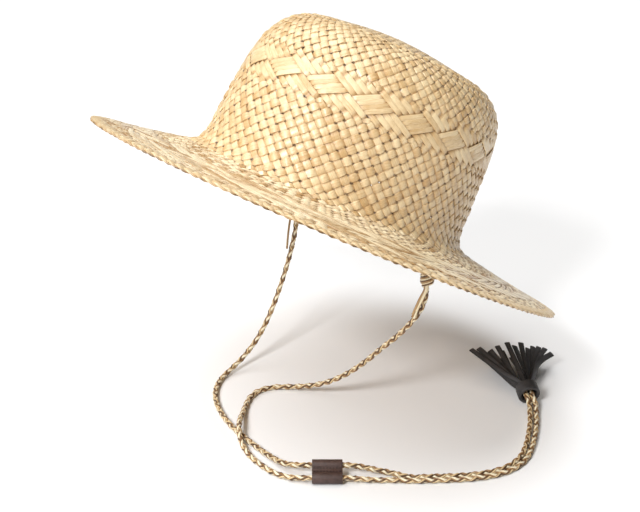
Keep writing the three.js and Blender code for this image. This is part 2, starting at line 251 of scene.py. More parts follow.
class Surface:
    """A new material with its shader, ready for its colour, gloss and relief."""

    # The colour sockets of a Mix node, which has others of the same names for numbers and vectors.
    MIX_INPUTS = (0, 6, 7)
    MIX_RESULT = 2

    def __init__(self, name: str) -> None:
        """Makes the material and keeps its shader node."""
        self.material = bpy.data.materials.new(name)
        self.material.use_nodes = True
        self.tree = Tree(self.material.node_tree)
        self.shader = self.material.node_tree.nodes["Principled BSDF"]

    def attribute(self, name: str) -> Sock:
        """A number that the mesh carries."""
        return self.tree.node("ShaderNodeAttribute", {"attribute_name": name}, out="Fac")

    def place(self) -> Sock:
        """The place on the object."""
        return self.tree.node("ShaderNodeTexCoord", out="Object")

    def vector(self, x: Operand, y: Operand, z: Operand) -> Sock:
        """A vector from three numbers."""
        return self.tree.node("ShaderNodeCombineXYZ", values={0: x, 1: y, 2: z})

    def noise(self, vector: Sock, scale: float, detail: float = 3.0, roughness: float = 0.55) -> Sock:
        """A noise from 0 to 1 over a vector."""
        values = {"Vector": vector, "Scale": scale, "Detail": detail, "Roughness": roughness}
        return self.tree.node("ShaderNodeTexNoise", values=values)

    def mixed(self, share: Operand, first: Any, second: Any) -> Sock:
        """Mixes two colours.

        Args:
            share: How much of the second.
            first: A colour or link.
            second: A colour or link.

        Returns:
            The mixed colour.
        """
        made = self.tree.node_tree.nodes.new("ShaderNodeMix")
        made.data_type = "RGBA"
        made.clamp_factor = True
        for number, value in zip(self.MIX_INPUTS, (share, first, second)):
            self.tree.put(made.inputs[number], value if isinstance(value, (Sock, float)) else (*value, 1.0))
        return Sock(self.tree, made.outputs[self.MIX_RESULT])

    def ramp(self, value: Operand, stops: Sequence[tuple[float, Triple]]) -> Sock:
        """Turns a number into a colour."""
        return self.tree.node("ShaderNodeValToRGB", {"stops": stops}, {"Fac": value}, out="Color")

    def range(self, value: Sock, low: float, high: float, to_low: float = 0.0, to_high: float = 1.0) -> Sock:
        """Maps a number from one range to another, clamped."""
        return self.tree.node("ShaderNodeMapRange", values={0: value, 1: low, 2: high, 3: to_low, 4: to_high})

    def bumped(self, height: Sock, strength: float, distance: float) -> Sock:
        """A normal from a height, with its distance in metres."""
        values = {"Strength": strength, "Distance": distance, "Height": height}
        return self.tree.node("ShaderNodeBump", values=values, out="Normal")

    def finish(self, **sockets: Any) -> bpy.types.Material:
        """Fills the shader's sockets; spaces in their names are written as _.

        Args:
            **sockets: Values or links by socket name.

        Returns:
            The material.
        """
        for name, value in sockets.items():
            self.tree.put(self.shader.inputs[name.replace("_", " ")], value)
        return self.material


@dataclass(frozen=True)
class StrawFinish:
    """Flat dried straw: pale and glossy, streaked along its length, with painted shade where it dips under
    another straw, along its edges and in some open corners.

    Attributes:
        name: The material's name.
        pale: The tone of most of it.
        tan: The tone of its darker streaks.
        dip: The painted shade where it goes under another straw, and along its edges.
        pit: The painted shade in some of the open corners between straws.
        edges: How strongly painted shade darkens the edges, up to 1.
        grain_per_width: How fine the streaks are across half a straw.
        grain_per_metre: How fine they are along it.
        tone_low: The sum of the noises where the straw is still pale.
        tone_high: The sum of the noises where it is all tan.
        patch_scale: How fine the patches over several straws are.
        cell_scale: How fine the spots on one straw are.
        corner_scale: How fine the noise is that picks which corners get painted shade.
    """

    name: str
    pale: Triple = (0.83, 0.655, 0.395)
    tan: Triple = (0.56, 0.35, 0.145)
    dip: Triple = (0.42, 0.22, 0.075)
    pit: Triple = (0.05, 0.022, 0.008)
    edges: float = 0.16
    grain_per_width: float = 4.4
    grain_per_metre: float = 32.0
    tone_low: float = 0.96
    tone_high: float = 1.72
    patch_scale: float = 38.0
    cell_scale: float = 190.0
    corner_scale: float = 75.0

    def make(self) -> bpy.types.Material:
        """Builds the material."""
        s = Surface(self.name)
        across, along, shade = s.attribute("across"), s.attribute("along"), s.attribute("shade")
        grain = s.vector(across * self.grain_per_width, along * self.grain_per_metre, shade * 11.0)
        streak = s.noise(grain, 1.0, 3.0, 0.6)
        patch = s.noise(s.place(), self.patch_scale, 2.0)
        cell = s.noise(s.place(), self.cell_scale, 2.0, 0.5)
        tone = s.range(shade * 0.6 + streak * 1.1 + patch * 0.3 + cell * 0.6, self.tone_low, self.tone_high)
        colour = s.mixed(tone, self.pale, self.tan)
        depth, beside = s.attribute("depth"), abs(across)
        # Painted shade: browner where a straw goes under another, and along its edges.
        dip_shade_mask = s.range(depth, 0.7, -0.35, 0.0, 0.8) + s.range(beside, 0.78, 1.0, 0.0, self.edges)
        colour = s.mixed(dip_shade_mask * s.range(streak, 0.2, 0.8, 0.7, 1.0), colour, self.dip)
        # Painted shade: nearly black in some of the open corners between straws.
        corner_shade_noise = s.range(s.noise(s.place(), self.corner_scale, 2.0), 0.44, 0.56, 0.12, 0.95)
        corner_shade_mask = s.range(beside, 0.55, 0.95) * s.range(depth, 0.55, 0.1)
        colour = s.mixed(corner_shade_mask * corner_shade_noise, colour, self.pit)
        return s.finish(
            Base_Color=colour,
            Roughness=s.range(streak, 0.25, 0.8, 0.3, 0.5),
            Specular_IOR_Level=0.6,
            Coat_Weight=0.24,
            Coat_Roughness=0.22,
            Normal=s.bumped(streak + cell * 0.25 - across * across * 0.9, 0.6, 0.0005),
        )


@dataclass(frozen=True)
class BraidFinish:
    """Waxed flat strands of the cord, from cream to dark brown by the strand's shade value (its own tone),
    with painted shade along each strand's edges.
    """

    name: str = "braid"
    tones: tuple[tuple[float, Triple], ...] = (
        (0.0, (0.93, 0.84, 0.62)),
        (0.34, (0.72, 0.53, 0.28)),
        (0.62, (0.36, 0.19, 0.07)),
        (1.0, (0.07, 0.032, 0.014)),
    )
    # The painted shade along each strand's edges, where it meets its neighbours.
    edge: Triple = (0.16, 0.075, 0.025)
    grain_per_width: float = 2.4
    grain_per_metre: float = 90.0

    def make(self) -> bpy.types.Material:
        """Builds the material."""
        s = Surface(self.name)
        across, along, shade = s.attribute("across"), s.attribute("along"), s.attribute("shade")
        grain = s.vector(across * self.grain_per_width, along * self.grain_per_metre, shade * 31.0)
        streak = s.noise(grain, 1.0, 3.0, 0.6)
        colour = s.ramp(s.range(shade + (streak - 0.5) * 0.42, 0.0, 1.0), self.tones)
        # Painted shade: darker towards each strand's edges.
        colour = s.mixed(s.range(abs(across), 0.62, 1.0, 0.0, 0.75), colour, self.edge)
        return s.finish(
            Base_Color=colour,
            Roughness=s.range(streak, 0.3, 0.75, 0.3, 0.5),
            Normal=s.bumped(streak, 0.4, 0.0002),
        )


@dataclass(frozen=True)
class LeatherFinish:
    """Smooth leather with a fine grain and rubbed high places, with painted shade along the edges of swept
    strips.
    """

    name: str
    base: Triple
    rubbed: Triple
    roughness: float = 0.48
    # The painted shade along the edges of swept strips, where they meet their neighbours.
    edge: Triple = (0.004, 0.0035, 0.0035)
    grain_scale: float = 1500.0
    crease_scale: float = 420.0
    cloud_scale: float = 110.0

    def make(self) -> bpy.types.Material:
        """Builds the material."""
        s = Surface(self.name)
        place = s.place()
        grain = s.tree.node(
            "ShaderNodeTexVoronoi",
            {"feature": "DISTANCE_TO_EDGE"},
            {"Vector": place, "Scale": self.grain_scale},
        )
        crease = s.noise(place, self.crease_scale, 4.0, 0.6)
        cloud = s.noise(place, self.cloud_scale, 3.0)
        colour = s.mixed(s.range(cloud * 0.6 + crease * 0.5, 0.42, 0.78), self.base, self.rubbed)
        # Painted shade towards the edges of swept strips; pieces without an across value get none.
        colour = s.mixed(s.range(abs(s.attribute("across")), 0.5, 1.0, 0.0, 0.9), colour, self.edge)
        height = s.range(grain, 0.0, 0.16) * 0.35 + crease
        return s.finish(
            Base_Color=colour,
            Roughness=s.range(crease, 0.3, 0.7, self.roughness - 0.08, self.roughness + 0.14),
            Normal=s.bumped(height, 0.5, 0.0003),
        )


@dataclass(frozen=True)
class ThreadFinish:
    """Twisted thread."""

    name: str = "thread"
    pale: Triple = (0.62, 0.45, 0.25)
    dark: Triple = (0.28, 0.17, 0.08)
    twist_scale: float = 420.0
    fluff_scale: float = 900.0

    def make(self) -> bpy.types.Material:
        """Builds the material."""
        s = Surface(self.name)
        place = s.place()
        twist = s.tree.node(
            "ShaderNodeTexWave",
            {"bands_direction": "DIAGONAL"},
            {"Vector": place, "Scale": self.twist_scale, "Distortion": 1.5, "Detail": 2.0},
            out="Fac",
        )
        fluff = s.noise(place, self.fluff_scale, 3.0)
        colour = s.mixed(s.range(twist * 0.7 + fluff * 0.4, 0.2, 0.9), self.dark, self.pale)
        return s.finish(Base_Color=colour, Roughness=0.8, Normal=s.bumped(twist + fluff * 0.3, 0.6, 0.0002))


@dataclass(frozen=True)
class FloorFinish:
    """Plain pale studio floor."""

    name: str = "studio_floor"
    colour: Triple = (0.91, 0.913, 0.92)

    def make(self) -> bpy.types.Material:
        """Builds the material."""
        return Surface(self.name).finish(Base_Color=(*self.colour, 1.0), Roughness=0.75)


@dataclass
class Finishes:
    """Every material, made once."""

    straw: bpy.types.Material = field(default_factory=StrawFinish("straw").make)
    # The brim's straws get stronger painted shade along their edges and a darker painted dip shade.
    brim_straw: bpy.types.Material = field(
        default_factory=StrawFinish(
            "brim_straw",
            pale=(0.97, 0.83, 0.57),
            tan=(0.44, 0.25, 0.09),
            dip=(0.25, 0.12, 0.038),
            edges=0.85,
            tone_low=1.06,
            tone_high=1.6,
        ).make
    )
    # The rim plait's straw has painted dip, edge and corner shade of its own.
    edge_straw: bpy.types.Material = field(
        default_factory=StrawFinish(
            "edge_straw",
            pale=(0.87, 0.71, 0.46),
            tan=(0.60, 0.40, 0.18),
            dip=(0.34, 0.18, 0.06),
            pit=(0.12, 0.06, 0.02),
            edges=0.45,
            grain_per_width=2.6,
            grain_per_metre=60.0,
        ).make
    )
    braid: bpy.types.Material = field(default_factory=BraidFinish().make)
    thread: bpy.types.Material = field(default_factory=ThreadFinish().make)
    dark_thread: bpy.types.Material = field(
        default_factory=ThreadFinish("dark_thread", (0.05, 0.028, 0.022), (0.012, 0.007, 0.006)).make
    )
    brown_leather: bpy.types.Material = field(
        default_factory=LeatherFinish("brown_leather", (0.040, 0.019, 0.014), (0.105, 0.06, 0.05)).make
    )
    black_leather: bpy.types.Material = field(
        default_factory=LeatherFinish(
            "black_leather", (0.022, 0.0205, 0.021), (0.062, 0.057, 0.058), roughness=0.5
        ).make
    )
    floor: bpy.types.Material = field(default_factory=FloorFinish().make)


# ---------------------------------------------------------------- shared maths


def unit(vectors: Array) -> Array:
    """Vectors of length 1."""
    return vectors / np.maximum(np.linalg.norm(vectors, axis=-1, keepdims=True), 1e-12)


def across_only(vectors: Array, along: Array) -> Array:
    """What is left of vectors when their part along unit directions is taken away."""
    return vectors - along * (vectors * along).sum(-1, keepdims=True)


def eased(share: Array) -> Array:
    """A share from 0 to 1 with soft ends, clamped."""
    share = np.clip(share, 0.0, 1.0)
    return share * share * (3 - 2 * share)


def travelled(line: Array) -> Array:
    """How far along a line each of its points is."""
    return np.concatenate([[0], np.cumsum(np.linalg.norm(np.diff(line, axis=0), axis=1))])


def smooth_table(knots: Array, values: Array, at: Array) -> Array:
    """A smooth line through a table.

    Args:
        knots: Where the values stand, rising.
        values: One value for each knot.
        at: Where to read the line.

    Returns:
        The line's values.
    """
    slopes = np.gradient(values, knots)
    i = np.clip(np.searchsorted(knots, at) - 1, 0, len(knots) - 2)
    step = knots[i + 1] - knots[i]
    t = (at - knots[i]) / step
    first = (1 + 2 * t) * (1 - t) ** 2 * values[i] + t * (1 - t) ** 2 * step * slopes[i]
    return first + t * t * (3 - 2 * t) * values[i + 1] + t * t * (t - 1) * step * slopes[i + 1]


def wander(rng: np.random.Generator, strands: int, rows: Array, spacing: float = 1.0) -> Array:
    """A random value for each strand that changes softly along it.

    Args:
        rng: Where the values come from.
        strands: How many strands.
        rows: Places along each strand.
        spacing: Places between two random values.

    Returns:
        Values from -1 to 1, one row for each strand.
    """
    places = (rows - rows[0]) / spacing
    values = rng.uniform(-1, 1, (strands, int(places[-1]) + 2))
    low = places.astype(int)
    share = eased(places - low)
    return values[:, low] * (1 - share) + values[:, low + 1] * share


def smooth_route(points: Array, step: float, fine_steps: int = 12) -> Array:
    """Points at even steps along a centripetal Catmull-Rom curve.

    Args:
        points: The control points.
        step: The distance between two results, about.
        fine_steps: Points of the curve between two control points, before they are evened out.

    Returns:
        Points from the first control point to the last.
    """
    padded = np.vstack([2 * points[0] - points[1], points, 2 * points[-1] - points[-2]])
    fine = []
    for p0, p1, p2, p3 in zip(padded, padded[1:], padded[2:], padded[3:]):
        t1, t2, t3 = np.cumsum([math.sqrt(np.linalg.norm(b - a)) for a, b in ((p0, p1), (p1, p2), (p2, p3))])
        t = np.linspace(t1, t2, fine_steps, endpoint=False)[:, None]
        a1 = (t1 - t) / t1 * p0 + t / t1 * p1
        a2 = ((t2 - t) * p1 + (t - t1) * p2) / (t2 - t1)
        a3 = ((t3 - t) * p2 + (t - t2) * p3) / (t3 - t2)
        b1 = ((t2 - t) * a1 + t * a2) / t2
        b2 = ((t3 - t) * a2 + (t - t1) * a3) / (t3 - t1)
        fine.append(((t2 - t) * b1 + (t - t1) * b2) / (t2 - t1))
    line = np.vstack([*fine, points[-1:]])
    gone = travelled(line)
    places = np.linspace(0, gone[-1], max(3, round(gone[-1] / step) + 1))
    return np.stack([np.interp(places, gone, line[:, k]) for k in range(3)], -1)


def carried_frames(line: Array, first: Array) -> tuple[Array, Array]:
    """Two directions square to a line, carried along it without twist.

    Args:
        line: The line's points.
        first: The wanted first direction at the start.

    Returns:
        The two directions at each point.
    """
    tangents = unit(np.gradient(line, axis=0))
    normals = np.empty_like(line)
    normal = first
    for i, tangent in enumerate(tangents):
        normal = normal - tangent * (normal @ tangent)
        normal = normal / np.linalg.norm(normal)
        normals[i] = normal
    return normals, np.cross(tangents, normals)


def tipped(points: Array) -> Array:
    """Turns points of the level hat into the tipped frame.

    Args:
        points: Points or directions.

    Returns:
        The same, tipped back.
    """
    c, s = math.cos(TILT), math.sin(TILT)
    x, y, z = np.moveaxis(points, -1, 0)
    return np.stack([x, y * c + z * s, z * c - y * s], -1)


# ---------------------------------------------------------------- swept strands


@dataclass
class Paths:
    """Strands to sweep: one row of arrays for each strand, in millimetres.

    Attributes:
        points: The middle of the layer that each strand lies in.
        normals: The layer's outward directions.
        half_width: Half the strand's width.
        lift: How far the strand is above the layer.
        tilt: Rise across the strand, as a slope.
        shade: The strand's own tone from 0 to 1.
        depth: Over (1) or under (-1) the other strands; the straw finishes paint shade where it is low.
        closed: True where each strand joins its own start.
    """

    points: list[Array] = field(default_factory=list)
    normals: list[Array] = field(default_factory=list)
    half_width: list[Array] = field(default_factory=list)
    lift: list[Array] = field(default_factory=list)
    tilt: list[Array] = field(default_factory=list)
    shade: list[Array] = field(default_factory=list)
    depth: list[Array] = field(default_factory=list)
    closed: bool = False

    def add(
        self,
        points: Array,
        normals: Array,
        half_width: Union[float, Array],
        shade: Union[float, Array],
        **more: Union[float, Array],
    ) -> None:
        """Adds one strand.

        Args:
            points: Its points.
            normals: Its outward directions.
            half_width: Half its width.
            shade: Its tone.
            **more: lift, tilt or depth, each 0 where it isn't given.
        """
        tangents = unit(np.gradient(points, axis=0))
        self.points.append(points)
        self.normals.append(unit(across_only(normals, tangents)))
        given = {"half_width": half_width, "shade": shade, **more}
        for name in ("half_width", "shade", "lift", "tilt", "depth"):
            getattr(self, name).append(np.broadcast_to(given.get(name, 0.0), len(points)))

    def mesh(self, name: str) -> bpy.types.Mesh:
        """The strands' middle lines as a mesh of edges that carries their values, in metres.

        Args:
            name: The mesh's name.

        Returns:
            The mesh.
        """
        counts = [len(p) for p in self.points]
        mesh = bpy.data.meshes.new(name)
        mesh.vertices.add(sum(counts))
        mesh.vertices.foreach_set("co", (np.concatenate(self.points) * MM).astype(np.float32).ravel())
        edges, start = [], 0
        for count in counts:
            index = np.arange(start, start + count)
            pairs = np.stack([index, np.roll(index, -1)], -1)
            edges.append(pairs if self.closed else pairs[:-1])
            start += count
        joined = np.concatenate(edges)
        mesh.edges.add(len(joined))
        mesh.edges.foreach_set("vertices", joined.astype(np.int32).ravel())
        numbers = {
            "half_width": np.concatenate(self.half_width) * MM,
            "lift": np.concatenate(self.lift) * MM,
            "tilt": np.concatenate(self.tilt),
            "shade": np.concatenate(self.shade),
            "depth": np.concatenate(self.depth),
            "along": np.concatenate([travelled(p) for p in self.points]) * MM,
        }
        for key, values in numbers.items():
            mesh.attributes.new(key, "FLOAT", "POINT").data.foreach_set("value", values.astype(np.float32))
        normals = np.concatenate(self.normals).astype(np.float32).ravel()
        mesh.attributes.new("face_normal", "FLOAT_VECTOR", "POINT").data.foreach_set("vector", normals)
        return mesh


@dataclass(frozen=True)
class StrandShape:
    """The section that a strand is swept with.

    Attributes:
        thickness: How thick it is.
        squareness: 0 for a lens or round section, 1 for a square-edged one.
        sides: The section's points.
        crease: Edges that bend more than this, in radians, are shaded sharp.
    """

    thickness: float
    squareness: float = 0.0
    sides: int = 6
    crease: float = math.pi


class Sweep:
    """Geometry nodes that sweep a flat section along every strand of a mesh of edges."""

    def __init__(self) -> None:
        """Builds the node group and keeps its inputs' identifiers."""
        group = bpy.data.node_groups.new("flat_strand_sweep", "GeometryNodeTree")
        self.group = group
        group.interface.new_socket("Geometry", in_out="OUTPUT", socket_type="NodeSocketGeometry")
        self.keys = {
            name: group.interface.new_socket(name, in_out="INPUT", socket_type=kind).identifier
            for name, kind in {
                "Geometry": "NodeSocketGeometry",
                "Sides": "NodeSocketInt",
                "Thickness": "NodeSocketFloat",
                "Squareness": "NodeSocketFloat",
                "Crease": "NodeSocketFloat",
                "Material": "NodeSocketMaterial",
            }.items()
        }
        self._fill(Tree(group))

    @staticmethod
    def _named(tree: Tree, name: str, kind: str = "FLOAT") -> Sock:
        """Reads an attribute of the geometry."""
        return tree.node("GeometryNodeInputNamedAttribute", {"data_type": kind}, {"Name": name})

    @staticmethod
    def _stored(tree: Tree, geometry: Sock, name: str, value: Sock, kind: str = "FLOAT") -> Sock:
        """Keeps a value as an attribute of the geometry."""
        values = {"Geometry": geometry, "Name": name, "Value": value}
        return tree.node("GeometryNodeStoreNamedAttribute", {"data_type": kind, "domain": "POINT"}, values)

    def _fill(self, tree: Tree) -> None:
        """Adds the nodes: strands to curves, a section along them, and its width and lift.

        Args:
            tree: The group's tree, still empty.
        """
        given = tree.node_tree.nodes.new("NodeGroupInput")
        inputs = {name: Sock(tree, given.outputs[name]) for name in self.keys}
        curve = tree.node("GeometryNodeMeshToCurve", values={"Mesh": inputs["Geometry"]})
        normal = self._named(tree, "face_normal", "FLOAT_VECTOR")
        tangent = tree.node("GeometryNodeInputTangent")
        cross = tree.node("ShaderNodeVectorMath", {"operation": "CROSS_PRODUCT"}, {0: normal, 1: tangent})
        side = tree.node("ShaderNodeVectorMath", {"operation": "NORMALIZE"}, {0: cross})
        curve = self._stored(tree, curve, "side", side, "FLOAT_VECTOR")
        curve = self._stored(tree, curve, "centre", tree.node("GeometryNodeInputPosition"), "FLOAT_VECTOR")
        circle = {"Resolution": inputs["Sides"], "Radius": 1.0}
        ring = tree.node("GeometryNodeCurvePrimitiveCircle", values=circle)
        ring_x = tree.node("ShaderNodeSeparateXYZ", values={0: tree.node("GeometryNodeInputPosition")})
        ring_y = Sock(tree, ring_x.socket.node.outputs["Y"])
        ring = self._stored(tree, ring, "ring_x", ring_x)
        ring = self._stored(tree, ring, "ring_y", ring_y)
        swept = {"Curve": curve, "Profile Curve": ring, "Fill Caps": True}
        mesh = tree.node("GeometryNodeCurveToMesh", values=swept)
        x, y = self._named(tree, "ring_x"), self._named(tree, "ring_y")
        largest = tree.node("ShaderNodeMath", {"operation": "MAXIMUM"}, {0: abs(x), 1: abs(y)})
        square = inputs["Squareness"]
        stretch = (1 - square) + square / largest
        mesh = self._stored(tree, mesh, "across", x * stretch)
        width = self._named(tree, "across") * self._named(tree, "half_width")
        rise = y * stretch * inputs["Thickness"] * 0.5 + self._named(tree, "lift")
        rise = rise + width * self._named(tree, "tilt")
        place = (
            self._named(tree, "centre", "FLOAT_VECTOR")
            + self._named(tree, "side", "FLOAT_VECTOR") * width
            + self._named(tree, "face_normal", "FLOAT_VECTOR") * rise
        )
        mesh = tree.node("GeometryNodeSetPosition", values={"Geometry": mesh, "Position": place})
        for name in ("side", "centre", "face_normal", "ring_x", "ring_y", "half_width", "lift", "tilt"):
            mesh = tree.node("GeometryNodeRemoveAttribute", values={"Geometry": mesh, "Name": name})
        mesh = tree.node("GeometryNodeSetShadeSmooth", values={"Geometry": mesh})
        bend = tree.node("GeometryNodeInputMeshEdgeAngle", out="Unsigned Angle")
        sharp = tree.node("ShaderNodeMath", {"operation": "GREATER_THAN"}, {0: bend, 1: inputs["Crease"]})
        mesh = tree.node(
            "GeometryNodeSetShadeSmooth",
            {"domain": "EDGE"},
            {"Geometry": mesh, "Selection": sharp, "Shade Smooth": False},
        )
        mesh = tree.node("GeometryNodeRealizeInstances", values={"Geometry": mesh})
        mesh = tree.node("GeometryNodeSetMaterial", values={"Geometry": mesh, "Material": inputs["Material"]})
        result = tree.node_tree.nodes.new("NodeGroupOutput")
        tree.node_tree.links.new(mesh.socket, result.inputs[0])

    def make(
        self, name: str, paths: Paths, material: bpy.types.Material, shape: StrandShape
    ) -> bpy.types.Object:
        """Sweeps strands into one plain mesh.

        Args:
            name: The piece's name.
            paths: The strands.
            material: Their finish.
            shape: Their section.

        Returns:
            The piece.
        """
        piece = linked(name, paths.mesh(name))
        modifier = piece.modifiers.new("sweep", "NODES")
        modifier.node_group = self.group
        values = {
            "Sides": shape.sides,
            "Thickness": shape.thickness * MM,
            "Squareness": shape.squareness,
            "Crease": shape.crease,
            "Material": material,
        }
        for key, value in values.items():
            modifier[self.keys[key]] = value
        return baked(piece)


def baked(piece: bpy.types.Object) -> bpy.types.Object:
    """Turns what a piece's modifiers make into its own plain mesh.

    Args:
        piece: The piece.

    Returns:
        The same piece, without modifiers.
    """
    graph = bpy.context.evaluated_depsgraph_get()
    evaluated = piece.evaluated_get(graph)
    mesh = bpy.data.meshes.new_from_object(evaluated, preserve_all_data_layers=True, depsgraph=graph)
    mesh.name = piece.name
    piece.modifiers.clear()
    piece.data = mesh
    return piece


def seated(piece: bpy.types.Object, slot: str, *nodes: str) -> bpy.types.Object:
    """Rides a piece on the hat, hides the CAD nodes that it stands for, and logs its triangles.

    Args:
        piece: The piece.
        slot: The name of a material slot; not used.
        *nodes: The CAD nodes that it replaces.

    Returns:
        The piece.
    """
    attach(piece, ROOT)
    if nodes:
        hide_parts(*nodes)
    count = sum(len(p.vertices) - 2 for p in piece.data.polygons)
    LOG.info("%s: %d triangles", piece.name, count)
    return piece


# ---------------------------------------------------------------- the hat's form


@dataclass(frozen=True)
class Section:
    """One oval of the hat's outer face, and how close the straws lie there.

    Attributes:
        name: What it is called below.
        height_front: Its height over the head opening, at the front.
        height_back: Its height at the back.
        side: Its reach to each side.
        front: Its reach to the front.
        back: Its reach to the back.
        pitch: From one straw of a family to the next, measured square to them.
    """

    name: str
    height_front: float
    height_back: float
    side: float
    front: float
    back: float
    pitch: float


SECTIONS = [
    Section("top inner", 115.8, 115.8, 20, 23, 25.5, 3.0),
    Section("top outer", 112.6, 112.6, 40, 46, 52.5, 3.57),
    Section("crown ridge", 110, 110, 53.6, 62, 71.4, 4.44),
    Section("shoulder high", 105.6, 105.6, 63.4, 72.6, 82.4, 4.88),
    Section("shoulder", 98, 98, 71.6, 81.6, 91, 5.27),
    Section("shoulder low", 88, 88, 77, 88.4, 96, 5.49),
    Section("wall high", 74, 74, 80.2, 93.2, 98.6, 5.55),
    Section("wall middle", 51, 51, 82.4, 97.6, 99.8, 5.66),
    Section("wall low", 28, 28, 83.8, 100.6, 100.4, 5.72),
    Section("fillet inner", 10, 10, 85.2, 102.8, 101.2, 5.66),
    Section("fillet middle", 4.2, 4.4, 87.4, 104.8, 103.6, 5.55),
    Section("fillet outer", 1, 1.2, 91.6, 108.6, 108, 5.33),
    Section("brim root", -1.2, -0.8, 99, 115.4, 116, 4.86),
    Section("brim inner", -4, -3.4, 112, 127.4, 130.8, 4.24),
    Section("brim middle", -7.6, -6.6, 130, 143.8, 150.6, 3.24),
    Section("brim outer", -10.6, -9.3, 148, 160, 170.6, 4.45),
    Section("rim", -12, -10.6, 157, 168.5, 180.5, 5.1),
]


def section(name: str) -> Section:
    """The section with a name."""
    return next(row for row in SECTIONS if row.name == name)


class HatForm:
    """The straw's middle layer, by an even turn round the hat and a distance down its profile."""

    # How far the layer lies under the outer face, the points that the oval is measured at, and the
    # steps of turn (in radians) and of distance that the face's direction is measured over.
    LAYER_DEPTH = 1.0
    OVAL_STEPS = 1440
    TURN_STEP = 1e-3
    DOWN_STEP = 0.2

    def __init__(self) -> None:
        """Measures the profile and the wall's oval."""
        self.table = {
            key: np.array([getattr(row, key) for row in SECTIONS], float)
            for key in ("height_front", "height_back", "side", "front", "back", "pitch")
        }
        t = self.table
        self.reach = (t["side"] + (t["front"] + t["back"]) / 2) / 2
        height = (t["height_front"] + t["height_back"]) / 2
        self.down = travelled(np.stack([self.reach, height], -1))
        self.angles = np.linspace(0, ROUND, self.OVAL_STEPS + 1)
        middle = section("wall middle")
        wide = middle.side * np.cos(self.angles)
        deep = np.where(np.sin(self.angles) > 0, middle.back, middle.front) * np.sin(self.angles)
        gone = travelled(np.stack([wide, deep], -1))
        self.turns = gone / gone[-1] * ROUND

    def at(self, name: str) -> float:
        """How far down the profile a section is."""
        return float(self.down[[row.name for row in SECTIONS].index(name)])

    def angle(self, turn: Array) -> Array:
        """The oval's angle at an even turn round the wall."""
        return np.interp(np.mod(turn, ROUND), self.turns, self.angles)

    def outer(self, angle: Array, down: Array) -> Array:
        """The hat's outer face, level.

        Args:
            angle: The oval's angles.
            down: Distances down the profile.

        Returns:
            Points of the face.
        """
        read = {key: smooth_table(self.down, values, down) for key, values in self.table.items()}
        sine, cosine = np.sin(angle), np.cos(angle)
        middle = (read["height_front"] + read["height_back"]) / 2
        end = np.where(sine > 0, read["height_back"], read["height_front"])
        reach = np.where(sine > 0, read["back"], read["front"])
        return np.stack([read["side"] * cosine, reach * sine, middle + (end - middle) * sine**2], -1)

    def layer(self, turn: Array, down: Array) -> tuple[Array, Array]:
        """The middle layer.

        Args:
            turn: Even turns round the hat.
            down: Distances down the profile.

        Returns:
            Points and outward directions in the tipped frame.
        """
        turn, down = np.broadcast_arrays(turn, down)
        angle = self.angle(turn)
        around = self.outer(angle + self.TURN_STEP, down) - self.outer(angle - self.TURN_STEP, down)
        upward = self.outer(angle, down - self.DOWN_STEP) - self.outer(angle, down + self.DOWN_STEP)
        normals = unit(np.cross(around, upward))
        return tipped(self.outer(angle, down) - normals * self.LAYER_DEPTH), tipped(normals)


# ---------------------------------------------------------------- woven body


@dataclass(frozen=True)
class Family:
    """How the straws that wind one way lie.

    Attributes:
        word: The family in its pieces' names.
        rise: How far a straw goes over and under, on the crown.
        fill: The share of the pitch that a straw fills, on the crown.
        band_half_width: Half a straw's width in the band.
        band_squeeze: How close a bundle's straws lie in the band, as a share of the pitch.
    """

    word: str
    rise: float
    fill: float
    band_half_width: float
    band_squeeze: float


@dataclass(frozen=True)
class Unevenness:
    """How much the straws differ from each other and along their length.

    Attributes:
        sideways: How far a straw strays to its side.
        fill: How much of the pitch it fills more or less, on the crown and the brim.
        top_fill: The same on the crown's top, along a straw.
        rise: How much more or less it goes over and under, as a share.
        tilt: How much it leans, as a slope.
        top_tilt: The same on the crown's top.
        middle_shade: The middle of the straws' tones.
        shade: How much the tones differ.
        top_shade: The same on the crown's top.
        calm: The share of straying and rise that the band takes away.
        tilt_calm: The share of leaning that the band takes away.
        long: Rows between two changes of place.
        slow: Rows between two changes of width or tone.
    """

    sideways: float = 0.55
    fill: float = 0.07
    top_fill: float = 0.04
    rise: float = 0.35
    tilt: float = 0.16
    top_tilt: float = 0.08
    middle_shade: float = 0.42
    shade: float = 0.22
    top_shade: float = 0.2
    calm: float = 0.6
    tilt_calm: float = 0.7
    long: float = 1.5
    slow: float = 2.0


